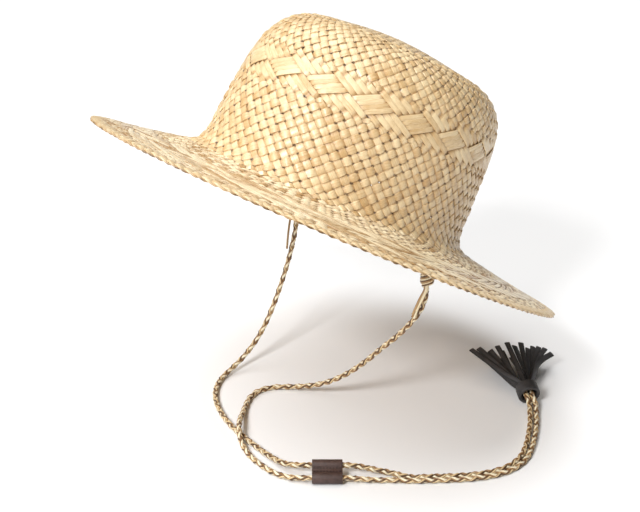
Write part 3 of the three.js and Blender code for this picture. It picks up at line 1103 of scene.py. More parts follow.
@dataclass
class WovenBody:
    """Crown side and brim, woven in one from two families of flat straw, and the crown's top.

    Attributes:
        straws: Straws in each family.
        bundle: Straws that cross together in the band.
        steps_per_row: Points of a straw from one crossing to the next.
        narrowest: The least width of a straw.
        widest: Its greatest width.
        phase: Where the first straw starts, in radians.
        profile_step: The step at which rows are counted down the profile.
        steepest: The sine of the steepest slope of a straw.
        above_ridge: How far above the crown's ridge the counting starts.
        band_height: The height of the band's middle.
        band_half_height: From there to where the band has ended.
        band_fade: How much of that is taken by the change from the plain weave.
        band_rows: Rows of crossings that the band changes, up and down from its middle.
        band_slope: The straws' slope in the band, in radians.
        band_swing: How sharply a bundle goes from over to under.
        shingle_slope: How much the straws of a bundle lean over each other.
        brim_fade: The length of the change from crown to brim.
        float_start: Rows from the inner brim to the first long float.
        float_long: Rows that a long float passes.
        float_count: Long floats on each straw.
        tuck_above: From the ridge down to where straws start to go under the top.
        tuck_fade: How soon they are tucked in.
        tuck_depth: How deep.
        top_steps: Straws of the top to each side of its middle.
        top_heading: The way that the top's first straws run, in radians.
        top_sections: Sections that the top's shape is read from.
    """

    form: HatForm
    sweep: Sweep
    finishes: Finishes
    families: Mapping[Turn, Family] = field(
        default_factory=lambda: {
            Turn.LEFTWARD: Family("left", 0.42, 0.87, 2.05, 0.98),
            Turn.RIGHTWARD: Family("right", 0.82, 0.97, 1.78, 0.83),
        }
    )
    uneven: Unevenness = Unevenness()
    shape: StrandShape = StrandShape(0.9, 0.6, 8, 0.75)
    straws: int = 68
    bundle: int = 4
    steps_per_row: int = 4
    narrowest: float = 3.0
    widest: float = 6.0
    phase: float = -0.08
    profile_step: float = 0.1
    steepest: float = 0.86
    above_ridge: float = 4.0
    band_height: float = 68.3
    band_half_height: float = 15.5
    band_fade: float = 5.0
    band_rows: float = 5.0
    band_slope: float = math.radians(27)
    band_swing: float = 2.2
    band_rise: float = 0.8
    shingle_slope: float = 0.06
    brim_fade: float = 14.0
    brim_rise: float = 0.6
    brim_fill: float = 0.95
    float_start: int = 3
    float_long: int = 5
    float_count: int = 3
    tuck_above: float = 0.5
    tuck_fade: float = 3.0
    tuck_depth: float = 1.7
    top_pitch: float = 5.5
    top_rise: float = 0.66
    top_steps: int = 14
    top_heading: float = math.radians(40)
    top_middle_height: float = 117.4
    top_sections: int = 4
    band_middle: float = field(init=False)
    rows: Array = field(init=False)
    down_of_rows: Array = field(init=False)
    first_row: float = field(init=False)
    root_row: int = field(init=False)
    float_rows: tuple[int, int] = field(init=False)

    def __post_init__(self) -> None:
        """Works out how many rows of crossings lie above each place of the profile."""
        form = self.form
        high, middle = section("wall high"), section("wall middle")
        share = (high.height_front - self.band_height) / (high.height_front - middle.height_front)
        self.band_middle = form.at(high.name) + share * (form.at(middle.name) - form.at(high.name))
        down = np.arange(form.at("crown ridge") - self.above_ridge, form.down[-1] + 0.01, self.profile_step)
        reach = smooth_table(form.down, form.reach, down)
        pitch = smooth_table(form.down, form.table["pitch"], down)
        slope = np.arcsin(np.clip(self.straws * pitch / (ROUND * reach), 0, self.steepest))
        band = self.band_share(down)
        slope = slope * (1 - band) + self.band_slope * band
        rows = np.cumsum(1 / np.tan(slope) / reach) * self.profile_step * self.straws / math.pi
        rows -= np.interp(self.band_middle, down, rows)
        self.rows, self.down_of_rows = rows, down
        # The crown's straws start over a row above the ridge, on a third of a row.
        self.first_row = math.ceil(self.row_at("crown ridge") * 3 - 4) / 3
        self.root_row = round(self.row_at("fillet outer"))
        floats = round(self.row_at("brim inner")) + self.float_start
        self.float_rows = (floats, floats + self.float_count * self.float_long)

    def band_share(self, down: Array) -> Array:
        """1 inside the patterned band round the crown, 0 outside it."""
        return eased((self.band_half_height - np.abs(down - self.band_middle)) / self.band_fade)

    def row_at(self, name: str) -> float:
        """The row of crossings at a section."""
        return float(np.interp(self.form.at(name), self.down_of_rows, self.rows))

    def plain_order(self, rows: Array) -> Array:
        """Whether the leftward straws lie over (1) or under (-1) at whole rows.

        Rows alternate, but for long floats in the middle of the brim.

        Args:
            rows: Whole rows.

        Returns:
            1 or -1 for each.
        """
        first, last = self.float_rows
        floating = (rows >= first) & (rows < last)
        return np.where(np.where(floating, (rows - first) // self.float_long, rows) % 2 == 0, 1.0, -1.0)

    def order(self, turn: Turn, rows: Array, across: Array) -> Array:
        """How far over or under a straw lies, from 1 to -1.

        Args:
            turn: The straw's family.
            rows: Places along the straw, in rows.
            across: The same places counted from the middle of the straw's bundle.

        Returns:
            The straw's level at each place.
        """
        low = np.floor(rows)
        share = eased(rows - low)
        plain = self.plain_order(low) * (1 - share) + self.plain_order(low + 1) * share
        plain = np.broadcast_to(plain, across.shape)
        bundled = -np.tanh((self.bundle / 2 - np.abs(across)) * self.band_swing)
        # The band changes rows near its middle, and one and a half bundles to each side.
        inside = eased(self.band_rows + 0.5 - np.abs(rows)) * eased(self.bundle * 1.5 + 0.5 - np.abs(across))
        return turn.value * (plain * (1 - inside) + bundled * inside)

    def family(self, turn: Turn, first: float, last: float, seed: int) -> Paths:
        """One family of straws between two rows.

        Args:
            turn: Which way it winds.
            first: Its first row.
            last: Its last row.
            seed: Seed of its small differences.

        Returns:
            The strands.
        """
        rng = np.random.default_rng(seed)
        look, uneven, form, n = self.families[turn], self.uneven, self.form, self.straws
        rows = np.arange(round(first * self.steps_per_row), round(last * self.steps_per_row) + 1)
        rows = rows / self.steps_per_row
        down = np.interp(rows, self.rows, self.down_of_rows)
        band = self.band_share(down)
        brim = eased((down - form.at("fillet middle")) / self.brim_fade)
        calmed = 1 - uneven.calm * band

        straw = np.arange(n)[:, None]
        inner = straw % self.bundle - (self.bundle - 1) / 2
        squeeze = 1 - (1 - look.band_squeeze) * band
        gap = ROUND / n
        reach = smooth_table(form.down, form.reach, down)
        strayed = wander(rng, n, rows, uneven.long) * uneven.sideways * calmed / reach
        turns = self.phase + gap * (straw - inner + inner * squeeze) + turn.value * gap / 2 * rows + strayed
        points, normals = form.layer(turns, down)
        beside, _ = form.layer(turns + gap, down)
        pitch = np.linalg.norm(across_only(beside - points, unit(np.gradient(points, axis=1))), axis=-1)

        fill = look.fill + rng.uniform(-uneven.fill, uneven.fill, (n, 1))
        fill = fill + uneven.fill * wander(rng, n, rows, uneven.slow) + (self.brim_fill - look.fill) * brim
        width = np.clip(pitch * fill, self.narrowest, self.widest)
        half = width / 2 * (1 - band) + look.band_half_width * band

        level = self.order(turn, rows[None, :], rows[None, :] + turn.value * inner * squeeze)
        rise = (look.rise * (1 - brim) + self.brim_rise * brim) * (1 - band) + self.band_rise * band
        tucked = eased((form.at("crown ridge") + self.tuck_above - down) / self.tuck_fade)
        lift = level * rise * (1 + uneven.rise * wander(rng, n, rows) * calmed)
        lift = lift * (1 - tucked) - self.tuck_depth * tucked
        tilt = uneven.tilt * wander(rng, n, rows) * (1 - uneven.tilt_calm * band)
        tilt = tilt + self.shingle_slope * turn.value * band
        shades = np.clip(rng.normal(uneven.middle_shade, uneven.shade, n), 0, 1)
        shade = np.clip(shades[:, None] + uneven.shade * wander(rng, n, rows, uneven.slow), 0, 1)

        # The brim's straws count as a little less sunk, so that they get less painted shade and look paler.
        depth = level + 0.2 * brim
        paths = Paths()
        for i in range(n):
            paths.add(points[i], normals[i], half[i], shade[i], lift=lift[i], tilt=tilt[i], depth=depth[i])
        return paths

    @staticmethod
    def ridge_share(x: Array, y: Array) -> Array:
        """How far out a place of the crown's top is: 0 in its middle, 1 on the ridge."""
        ridge = section("crown ridge")
        return np.hypot(x / ridge.side, y / np.where(y > 0, ridge.back, ridge.front))

    def top_height(self, x: Array, y: Array) -> Array:
        """The height of the crown's top over places of its plan.

        Args:
            x: To the wearer's left.
            y: To the back.

        Returns:
            Heights.
        """
        rows = SECTIONS[: self.top_sections]
        knots = np.array([0.0, *(row.side / section("crown ridge").side for row in rows)])
        heights = np.array([self.top_middle_height, *(row.height_front for row in rows)])
        return smooth_table(knots, heights, self.ridge_share(x, y))

    def top(self, seed: int) -> Paths:
        """The crown's top: a square grid of straws inside the ridge.

        Args:
            seed: Seed of its small differences.

        Returns:
            The strands.
        """
        rng = np.random.default_rng(seed)
        uneven, reach = self.uneven, self.top_steps
        steps = np.arange(-reach * self.steps_per_row, reach * self.steps_per_row + 1) / self.steps_per_row
        past_ridge, fade_from, fade_over, edge_depth, probe = 1.02, 0.93, 0.09, 0.9, 0.3
        paths = Paths()
        for family, heading in ((1, self.top_heading), (-1, self.top_heading + math.pi / 2)):
            run = np.array([math.cos(heading), math.sin(heading)])
            for i in range(-reach, reach + 1):
                away = i * self.top_pitch + wander(rng, 1, steps, uneven.long)[0] * uneven.sideways
                x = run[0] * steps * self.top_pitch - run[1] * away
                y = run[1] * steps * self.top_pitch + run[0] * away
                edge = self.ridge_share(x, y)
                kept = edge < past_ridge
                if kept.sum() < 4:
                    continue
                level = np.cos(math.pi * (steps + i)) * family
                slope_x = (self.top_height(x + probe, y) - self.top_height(x - probe, y)) / (2 * probe)
                slope_y = (self.top_height(x, y + probe) - self.top_height(x, y - probe)) / (2 * probe)
                normals = unit(np.stack([-slope_x, -slope_y, np.ones_like(x)], -1))
                points = np.stack([x, y, self.top_height(x, y)], -1) - normals * self.form.LAYER_DEPTH
                fade = eased((edge - fade_from) / fade_over)
                lift = level * self.top_rise * (1 - fade) - edge_depth * fade
                fill = rng.uniform(0.9, 1.0) + uneven.top_fill * wander(rng, 1, steps, uneven.slow)[0]
                shade = float(np.clip(rng.normal(uneven.middle_shade, uneven.top_shade), 0, 1))
                tilt = uneven.top_tilt * wander(rng, 1, steps)[0]
                paths.add(
                    tipped(points)[kept],
                    tipped(normals)[kept],
                    (self.top_pitch / 2 * fill)[kept],
                    shade,
                    lift=lift[kept],
                    tilt=tilt[kept],
                    depth=level[kept],
                )
        return paths

    def build(self) -> list[bpy.types.Object]:
        """Builds every straw of the crown and the brim.

        Returns:
            The pieces.
        """
        parts = []
        for turn, look in self.families.items():
            crown = self.family(turn, self.first_row, self.root_row + 1 / 3, 11 + turn.value)
            brim = self.family(turn, self.root_row, self.row_at("rim"), 21 + turn.value)
            parts.append((f"crown_straws_{look.word}", crown, self.finishes.straw))
            parts.append((f"brim_straws_{look.word}", brim, self.finishes.brim_straw))
        parts.append(("top_straws", self.top(31), self.finishes.straw))
        return [
            seated(self.sweep.make(name, paths, finish, self.shape), "straw", "woven_body")
            for name, paths, finish in parts
        ]


# ---------------------------------------------------------------- brim edge


@dataclass
class BrimEdge:
    """Flat strands of straw, plaited round the rim.

    Attributes:
        strands: How many strands are plaited.
        plaits: How often each strand swings out and in on its way round.
        steps_per_plait: Points of a strand in one such swing.
        outwards: From the rim out to the plait's middle.
        half_spread: How far a strand swings out and in.
        half_rise: How far it goes over and under.
        lean: How much it leans where it crosses the middle, as a slope.
        uneven: How much its width changes, as a share.
        inward_step: Where the rim's direction is measured from.
    """

    form: HatForm
    sweep: Sweep
    finishes: Finishes
    shape: StrandShape = StrandShape(1.25, 0.45, 8, 0.75)
    strands: int = 3
    plaits: int = 51
    steps_per_plait: int = 14
    outwards: float = 1.7
    half_spread: float = 1.6
    half_rise: float = 0.7
    half_width: float = 2.75
    lean: float = 0.25
    uneven: float = 0.15
    first_shade: float = 0.25
    shade_step: float = 0.15
    inward_step: float = 2.0

    def build(self) -> bpy.types.Object:
        """Builds the plait.

        Returns:
            The piece.
        """
        rng = np.random.default_rng(5)
        count = self.plaits * self.steps_per_plait
        turns = np.linspace(0, ROUND, count, endpoint=False)
        rim = self.form.down[-1]
        points, normals = self.form.layer(turns, np.full(count, rim))
        inner, _ = self.form.layer(turns, np.full(count, rim - self.inward_step))
        out = unit(points - inner)
        middle = points + out * self.outwards
        gone = travelled(middle)
        total = gone[-1] + np.linalg.norm(middle[0] - middle[-1])
        phase = gone / total * ROUND * self.plaits
        paths = Paths(closed=True)
        for k in range(self.strands):
            t = phase + ROUND * k / self.strands
            level = np.sin(2 * t)
            paths.add(
                middle + out * (np.sin(t) * self.half_spread)[:, None],
                normals,
                self.half_width * (1 + self.uneven * rng.uniform(-1, 1, count)),
                self.first_shade + self.shade_step * k,
                lift=level * self.half_rise,
                # depth sets the painted shade of the rim plait's straw: more where a strand goes under.
                depth=0.35 + level * 0.4,
                tilt=-self.lean * np.cos(t),
            )
        piece = self.sweep.make("rim_plait", paths, self.finishes.edge_straw, self.shape)
        return seated(piece, "edge_straw", "brim_edge")


# ---------------------------------------------------------------- chin cord


@dataclass(frozen=True)
class BraidRow:
    """One flat strand of the braid; lengths are shares of the braid's radius.

    Attributes:
        way: Which way it winds, 1 or -1.
        start: Half turns before it starts.
        aside: How far it lies to the side of its pair's middle.
        half_width: Half its width.
        shade: Its tone.
    """

    way: int
    start: int
    aside: float
    half_width: float
    shade: float


BRAID = [
    BraidRow(1, 0, 0.12, 0.5, 0.0),
    BraidRow(1, 0, -0.5, 0.18, 0.56),
    BraidRow(1, 1, 0.12, 0.5, 0.05),
    BraidRow(1, 1, -0.5, 0.18, 0.66),
    BraidRow(-1, 0, 0.3, 0.29, 0.34),
    BraidRow(-1, 0, -0.28, 0.29, 0.98),
    BraidRow(-1, 1, 0.3, 0.29, 0.9),
    BraidRow(-1, 1, -0.28, 0.29, 0.3),
]
# Where a strand's middle lies, and how far it goes over and under, as shares of the radius.
BRAID_LAYER = 0.46
BRAID_SWING = 0.19


def round_braid(line: Array, first: Array, paths: Paths, radius: float = 2.0, turn: float = 17.0) -> None:
    """Adds the strands of a round braid, paired two and two, along a line.

    Args:
        line: The braid's middle line, in millimetres, at even steps.
        first: A direction that starts the braid's frame.
        paths: Where the strands go.
        radius: The braid's outer radius.
        turn: The length of one full turn of a strand.
    """
    normals, binormals = carried_frames(line, first)
    phase = ROUND * travelled(line) / turn
    for row in BRAID:
        angle = row.way * phase + row.start * math.pi
        out = normals * np.cos(angle)[:, None] + binormals * np.sin(angle)[:, None]
        level = row.way * np.cos(2 * phase)
        beside = unit(np.cross(out, np.gradient(line + out * radius, axis=0)))
        away = radius * (BRAID_LAYER + BRAID_SWING * level)
        place = line + out * away[:, None] + beside * row.aside * radius
        paths.add(place, out, radius * row.half_width, row.shade, depth=level)


@dataclass(frozen=True)
class StrandPlan:
    """The middle line of one strand of the chin cord, as x, y and height above the surface.

    Attributes:
        side: The side of its eye.
        start: From the eye to the slider.
        channel: The slider's channel that it runs through, 1 or -1.
        after_slider: From there to where both strands lie together.
        pair_side: The side that it lies on there, 1 or -1.
    """

    side: Side
    start: Sequence[Triple]
    channel: int
    after_slider: Sequence[Triple]
    pair_side: int


LEFT_STRAND = StrandPlan(
    Side.LEFT,
    [
        (74.5, 25.4, 102.6), (73.9, 25, 95), (71, 23.2, 84.6), (65.2, 19.4, 73.4), (57, 14.6, 61.8),
        (47.4, 9.6, 50.4), (38.4, 5.1, 39.4), (28.4, 0.2, 28.6), (17.2, -5.4, 18.6), (6, -11, 11.2),
        (-6, -17, 5.8), (-17, -24, 2.8), (-24.4, -33, 2), (-26, -44, 2), (-21.4, -55.4, 2),
        (-12.6, -65.4, 2), (-3.4, -74, 3.4), (5.4, -82, 6), (14, -88.8, 6.8), (22.6, -94.2, 6),
        (32.4, -98.2, 3.4), (44, -100.6, 2), (58, -101.4, 2), (72, -100, 2), (83, -95.8, 2.8),
    ],
    -1,
    [(113.6, -59.6, 3), (119.6, -51.2, 2.1), (126.4, -42, 2)],
    1,
)
RIGHT_STRAND = StrandPlan(
    Side.RIGHT,
    [
        (-74.5, 25.4, 102.6), (-74.4, 24.6, 95), (-73.6, 20.6, 82), (-72.2, 14.2, 67), (-70.8, 6.8, 52.4),
        (-69.2, -1.4, 38.6), (-68, -10, 26.4), (-66.8, -20, 16.2), (-65.4, -31.4, 8.4),
        (-63, -43.4, 3.8), (-58.4, -54.6, 2.1), (-50, -64.8, 2), (-39, -73.4, 2), (-26, -80, 2),
        (-12, -84.8, 2), (2, -87.8, 2), (16, -89.4, 2), (32, -90.2, 2), (47, -91, 2.6),
        (60, -92, 4.4), (69.6, -92.2, 6), (77, -89.4, 7),
    ],
    1,
    [(105.8, -54, 6.4), (112.4, -46, 4.2), (119.8, -38.2, 2.4)],
    -1,
)
PAIR_ROUTE = [
    (131.4, -33, 2), (138.6, -22.6, 2), (146.4, -11, 2), (153.6, 1.4, 2), (158.8, 14.8, 2),
    (160.2, 29.4, 2), (156.4, 43.6, 2), (148, 57, 2), (137.6, 69.8, 2), (126.4, 82, 2),
    (117.6, 90.2, 2.4), (110.4, 96.4, 4.6),
]


def above_surface(points: Sequence[Triple]) -> Array:
    """Route points in the frame, from their height above the surface."""
    return np.array(points, float) - (0, 0, FLOOR_BELOW)


@dataclass(frozen=True)
class SliderPlace:
    """Where the slider lies, and its channels.

    Attributes:
        length: Its length along the cord.
        channel_apart: From one channel's middle to the other's.
        lobe: The outer radius round a channel.
        web_half: Half the thickness of the sewn web between the channels.
        surface_gap: How far it stays off the surface.
        channel_beyond: How far the cord stays straight past its ends.
        middle_xy: Its middle in plan.
        heading: The way that it points, in radians.
        roll: How far it is rolled about that, in radians.
    """

    length: float = 20.0
    channel_apart: float = 10.5
    lobe: float = 3.9
    web_half: float = 1.9
    surface_gap: float = 0.05
    channel_beyond: float = 4.0
    middle_xy: tuple[float, float] = (96.0, -75.0)
    heading: float = math.radians(53)
    roll: float = math.radians(20)

    def axes(self) -> tuple[Array, Array, Array, Array]:
        """Works out how the slider stands.

        Returns:
            Its middle, and its directions along, across and out of its face.
        """
        along = np.array([math.cos(self.heading), math.sin(self.heading), 0.0])
        level = np.array([-along[1], along[0], 0.0])
        c, s = math.cos(self.roll), math.sin(self.roll)
        across, face = level * c + np.cross(along, level) * s, UP * c + np.cross(along, UP) * s
        rise = self.lobe + self.surface_gap + self.channel_apart / 2 * s
        return np.array([*self.middle_xy, rise - FLOOR_BELOW]), along, across, face

    def channel_run(self, side: int) -> Array:
        """The straight stretch of cord through one channel.

        Args:
            side: The channel, 1 or -1.

        Returns:
            Four points of the stretch.
        """
        middle, along, across, _ = self.axes()
        centre = middle + across * side * self.channel_apart / 2
        straight = self.length / 2 + self.channel_beyond
        return np.array([centre + along * d for d in (-straight, -straight / 2, straight / 2, straight)])


@dataclass(frozen=True)
class TasselPlace:
    """Where the tassel lies."""

    collar_length: float = 9.0
    collar_outer: float = 8.0
    middle_xy: tuple[float, float] = (100.0, 101.4)
    heading: float = math.radians(154)
    rise: float = math.radians(18)
    surface_gap: float = 0.05

    def axes(self) -> tuple[Array, Array, Array, Array]:
        """Works out how the collar stands.

        Returns:
            Its middle, and its directions along, to the side and up.
        """
        c, s = math.cos(self.rise), math.sin(self.rise)
        axis = np.array([math.cos(self.heading) * c, math.sin(self.heading) * c, s])
        side = np.array([-math.sin(self.heading), math.cos(self.heading), 0.0])
        height = self.collar_outer * c + self.collar_length / 2 * s + self.surface_gap
        return np.array([*self.middle_xy, height - FLOOR_BELOW]), axis, side, np.cross(axis, side)


@dataclass
class ChinCord:
    """Two braided strands from their knots through the slider to the tassel.

    Attributes:
        diameter: The braid's diameter; not used.
        pair_offset: From the pair's middle to each strand's.
        past_collar_middle: How far the strands go past the middle of the collar.
        step: The distance between two points of a strand.
        first_lean: How far the braid's first direction leans from upright, along which the cord starts.
    """

    sweep: Sweep
    finishes: Finishes
    slider: SliderPlace
    tassel: TasselPlace
    shape: StrandShape = StrandShape(1.5)
    diameter: float = 4.0
    pair_offset: float = 2.15
    past_collar_middle: float = 0.6
    step: float = 1.3
    first_lean: float = 0.01

    def pair(self, side: int) -> Array:
        """One strand's share of the stretch where both lie side by side.

        Args:
            side: The side that it lies on, 1 or -1.

        Returns:
            The points of its route.
        """
        middle, axis, level, _ = self.tassel.axes()
        route = above_surface(PAIR_ROUTE)
        ends = [middle - axis * self.tassel.collar_length / 2, middle + axis * self.past_collar_middle]
        line = np.vstack([route, ends])
        places = np.arange(len(line))
        run = line[np.minimum(places + 1, len(line) - 1)] - line[np.maximum(places - 1, 0)]
        run[:, 2] = 0
        run = unit(run)
        aside = np.stack([run[:, 1], -run[:, 0], np.zeros(len(line))], -1)
        aside[len(route):] = -level
        return line + aside * side * self.pair_offset

    def line(self, plan: StrandPlan) -> Array:
        """The strand's whole middle line.

        Args:
            plan: Its route.

        Returns:
            Points at even steps.
        """
        points = np.vstack([
            above_surface(plan.start),
            self.slider.channel_run(plan.channel),
            above_surface(plan.after_slider),
            self.pair(plan.pair_side),
        ])
        return smooth_route(points, self.step)

    def build(self, plan: StrandPlan) -> tuple[bpy.types.Object, Array]:
        """Builds one strand.

        Args:
            plan: Its route.

        Returns:
            The piece and its middle line, in millimetres.
        """
        line = self.line(plan)
        paths = Paths()
        round_braid(line, UP + line[0] * self.first_lean, paths)
        piece = self.sweep.make(f"cord_{plan.side.word}", paths, self.finishes.braid, self.shape)
        return seated(piece, "braid", f"chin_cord_{plan.side.word}"), line

    def declare(self, line: Array) -> None:
        """Works out a strand's first point and all its points in metres, and keeps neither.

        Args:
            line: Its middle line, in millimetres.
        """
        tuple(line[0] * MM)
        [tuple(p) for p in line * MM]


@dataclass(frozen=True)
class Tail:
    """One loose flat end of a knot."""

    shade: float
    long: float
    apart: float


@dataclass(frozen=True)
class KnotFrame:
    """Where a knot hangs: its middle, and the directions through its eye and out of the hat."""

    middle: Array
    hole: Array
    out: Array


@dataclass
class CordKnot:
    """The tied end of a strand: a bight through its eye, a knot and flat loose ends.

    Attributes:
        below_eye: From the eye's middle down to the knot's.
        eye_radius: From the eye's middle down to the thread that the bight lies on.
        bight_half: Half the bight's width.
        bight_radius: The radius of the braid in the bight.
        foot_half: Half the distance of the bight's ends.
        eye_angle: How far the eye's hole is turned, in radians.
        coil_radius: The radius of the knot.
        coil_turns: How often a strand winds round it.
        coil_high: Half the height that a strand winds over.
        coil_half_width: Half the width of a strand there.
        coil_shades: The tones of its strands.
        tails: The loose ends.
        tail_heading: The way that they hang to, in radians.
        tail_half_width: Half the width of a loose end.
        tail_points: How far below, aside and in front of the knot a loose end passes.
    """

    sweep: Sweep
    finishes: Finishes
    shape: StrandShape = StrandShape(1.4)
    below_eye: float = 44.0
    eye_radius: float = 5.0
    bight_half: float = 3.4
    bight_radius: float = 1.9
    foot_half: float = 2.0
    eye_angle: float = math.radians(13)
    coil_radius: float = 3.9
    coil_turns: float = 1.6
    coil_high: float = 2.6
    coil_half_width: float = 0.72
    coil_shades: tuple[float, ...] = (0.05, 0.9, 0.2, 0.55, 0.95, 0.1)
    tails: tuple[Tail, ...] = (
        Tail(0.62, 0.97, 1.3), Tail(0.08, 1.0, 0.1), Tail(0.45, 0.9, 0.9), Tail(0.2, 0.8, -1.5),
    )
    tail_heading: float = math.radians(233)
    tail_half_width: float = 0.85
    tail_points: tuple[Triple, ...] = ((-1.0, 0.2, 2.6), (6.0, 1.0, 4.1), (14.0, 4.0, 4.5), (27.0, 8.5, 4.5))

    def build(self, side: Side) -> bpy.types.Object:
        """Builds the knot under one eye.

        Args:
            side: The eye's side.

        Returns:
            The piece.
        """
        low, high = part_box(f"cord_eye_{side.word}")
        eye = (np.array(low) + np.array(high)) / 2 / MM
        c, s = math.cos(self.eye_angle), math.sin(self.eye_angle)
        hole = unit(np.array([-s * math.cos(TILT), side.value * c, 0.0]))
        knot = KnotFrame(eye - UP * self.below_eye, hole, np.cross(hole, UP))
        paths = Paths()
        self._bight(paths, knot, eye - UP * self.eye_radius)
        self._coil(paths, knot)
        self._tails(paths, knot, side)
        piece = self.sweep.make(f"knot_{side.word}", paths, self.finishes.braid, self.shape)
        return seated(piece, "braid", f"cord_knot_{side.word}")

    def _bight(self, paths: Paths, knot: KnotFrame, bar: Array) -> None:
        """Leads the braid up through the eye and back down.

        Args:
            paths: Where the strands go.
            knot: Where the knot hangs.
            bar: The thread that the bight lies on.
        """
        bend = [
            bar + knot.hole * self.bight_half * math.cos(t) + UP * self.bight_half * math.sin(t)
            for t in np.linspace(0, math.pi, 9)
        ]
        foot = knot.hole * self.foot_half
        bight = smooth_route(np.array([knot.middle + foot, *bend, knot.middle - foot]), 1.0)
        round_braid(bight, knot.out, paths, self.bight_radius)

    def _coil(self, paths: Paths, knot: KnotFrame) -> None:
        """Winds flat strands round the knot, each turn leaning over the last.

        Args:
            paths: Where the strands go.
            knot: Where the knot hangs.
        """
        t = np.linspace(0, 1, 72)
        for k, shade in enumerate(self.coil_shades):
            angle = ROUND * self.coil_turns * t + 0.5 + 0.25 * k
            radius = self.coil_radius * (0.5 + 0.5 * eased(np.minimum(t, 1 - t) * 6)) + 0.3 * (k % 2)
            height = self.coil_high * (1 - 2 * t) + (k - 2.5) * 0.95 + np.sin(angle) * 1.3
            radial = knot.hole * np.cos(angle)[:, None] + knot.out * np.sin(angle)[:, None]
            line = knot.middle + radial * radius[:, None] + UP * height[:, None]
            paths.add(line, radial, self.coil_half_width, shade, depth=0.4)

    def _tails(self, paths: Paths, knot: KnotFrame, side: Side) -> None:
        """Hangs the strands' loose flat ends beside the cord.

        Args:
            paths: Where the strands go.
            knot: Where the knot hangs.
            side: The wearer's side, for the ends of one knot mirror the other's.
        """
        aside = np.array([side.value * math.cos(self.tail_heading), math.sin(self.tail_heading), 0.0])
        front = np.array([-side.value * aside[1], side.value * aside[0], 0.0])
        for k, tail in enumerate(self.tails):
            control = []
            for down, beside, away in self.tail_points:
                parted = tail.apart * min(1.0, 0.3 + down / 20)
                place = knot.middle - UP * down * tail.long + aside * (beside + parted)
                control.append(place + front * (away + 0.5 * (k % 2)))
            line = smooth_route(np.array(control), 1.2)
            face = unit(front + aside * 0.3 * (k - 1.5))
            paths.add(line, np.broadcast_to(face, line.shape), self.tail_half_width, tail.shade, depth=0.5)


# ---------------------------------------------------------------- leather


def softened_copy(
    name: str, node: str, material: bpy.types.Material, edge: float, bend: float
) -> bpy.types.Object:
    """A welded copy of a CAD node with a new finish and rounded edges.

    Args:
        name: The new piece's name.
        node: The CAD node.
        material: The finish.
        edge: How wide its edges are rounded.
        bend: Edges that bend more than this, in radians, are rounded.

    Returns:
        The new piece.
    """
    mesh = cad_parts[node].data.copy()
    piece = linked(name, mesh)
    mesh.materials.clear()
    mesh.materials.append(material)
    weld = piece.modifiers.new("weld", "WELD")
    weld.merge_threshold = 0.01 * MM
    bevel = piece.modifiers.new("edge", "BEVEL")
    bevel.width = edge * MM
    bevel.segments = 3
    bevel.limit_method = "ANGLE"
    bevel.angle_limit = bend
    for polygon in baked(piece).data.polygons:
        polygon.use_smooth = True
    return piece


@dataclass
class CordSlider:
    """Leather sleeve round both strands, stitched between them."""

    sweep: Sweep
    finishes: Finishes
    place: SliderPlace
    thread: StrandShape = StrandShape(0.5)
    edge: float = 0.45
    edge_bend: float = math.radians(50)
    stitch_long: float = 1.5
    stitch_apart: float = 2.1
    stitch_half_width: float = 0.28
    stitch_rows: tuple[float, ...] = (-1.3, 1.3)
    stitch_sink: tuple[float, ...] = (-0.35, 0.12, 0.2, 0.12, -0.35)
    end_gap: float = 3.0

    def stitches(self) -> bpy.types.Object:
        """Makes two rows of thread on each face of the sewn web.

        Returns:
            The piece.
        """
        middle, along, across, face = self.place.axes()
        paths = Paths()
        count = int((self.place.length - self.end_gap) / self.stitch_apart) + 1
        starts = (np.arange(count) - (count - 1) / 2) * self.stitch_apart
        height = self.place.web_half + np.array(self.stitch_sink)
        run = np.linspace(-0.5, 0.5, len(self.stitch_sink)) * self.stitch_long
        for side in (1, -1):
            for row in self.stitch_rows:
                for start in starts:
                    line = middle + along * (start + run)[:, None] + across * row
                    line = line + face * side * height[:, None]
                    paths.add(line, np.broadcast_to(face * side, line.shape), self.stitch_half_width, 0.5)
        piece = self.sweep.make("slider_stitches", paths, self.finishes.dark_thread, self.thread)
        return seated(piece, "brown_leather")

    def build(self) -> list[bpy.types.Object]:
        """Builds the sleeve and its stitches.

        Returns:
            The pieces.
        """
        leather = self.finishes.brown_leather
        sleeve = softened_copy("slider_sleeve", "cord_slider", leather, self.edge, self.edge_bend)
        return [seated(sleeve, "brown_leather", "cord_slider"), self.stitches()]


@dataclass(frozen=True)
class Strip:
    """Where one strip of the tassel ends, from the collar's middle, and where it bends.

    Attributes:
        aside: Distance to the side.
        up: Distance above the collar's axis.
        far: Distance along the axis.
        bend: How much later than evenly it leaves the axis.
    """

    aside: float
    up: float
    far: float
    bend: float = 0.1


STRIPS = [
    Strip(15.3, -17.3, 50.6), Strip(8.3, -19.3, 51.6), Strip(1.3, -20.3, 52.6), Strip(-5.7, -20.3, 52.6),
    Strip(-12.7, -19.3, 51.6), Strip(-19.7, -18.3, 50.6), Strip(-25.7, -16.3, 48.6), Strip(17.3, -11.8, 52.6),
    Strip(2.3, -14.3, 54.6), Strip(-9.7, -14.3, 54.6, 0), Strip(29.3, -1.8, 47.6, 0), Strip(21.3, -7.8, 53.6),
    Strip(11.8, -11.8, 54.1, 0.16), Strip(5.8, -10.3, 56.6), Strip(-17.2, -12.3, 53.1),
    Strip(-7.5, -11.3, 56.1, 0.2), Strip(-2.2, -9.8, 58.6, 0.22), Strip(-12.7, -10.3, 57.6, 0.24),
    Strip(-21, -11.3, 53.6), Strip(-25.2, -10.8, 52.1, 0.3), Strip(-29.2, -10.3, 49.6, 0.35),
    Strip(-33.2, -11.3, 44.6, 0.62),
]


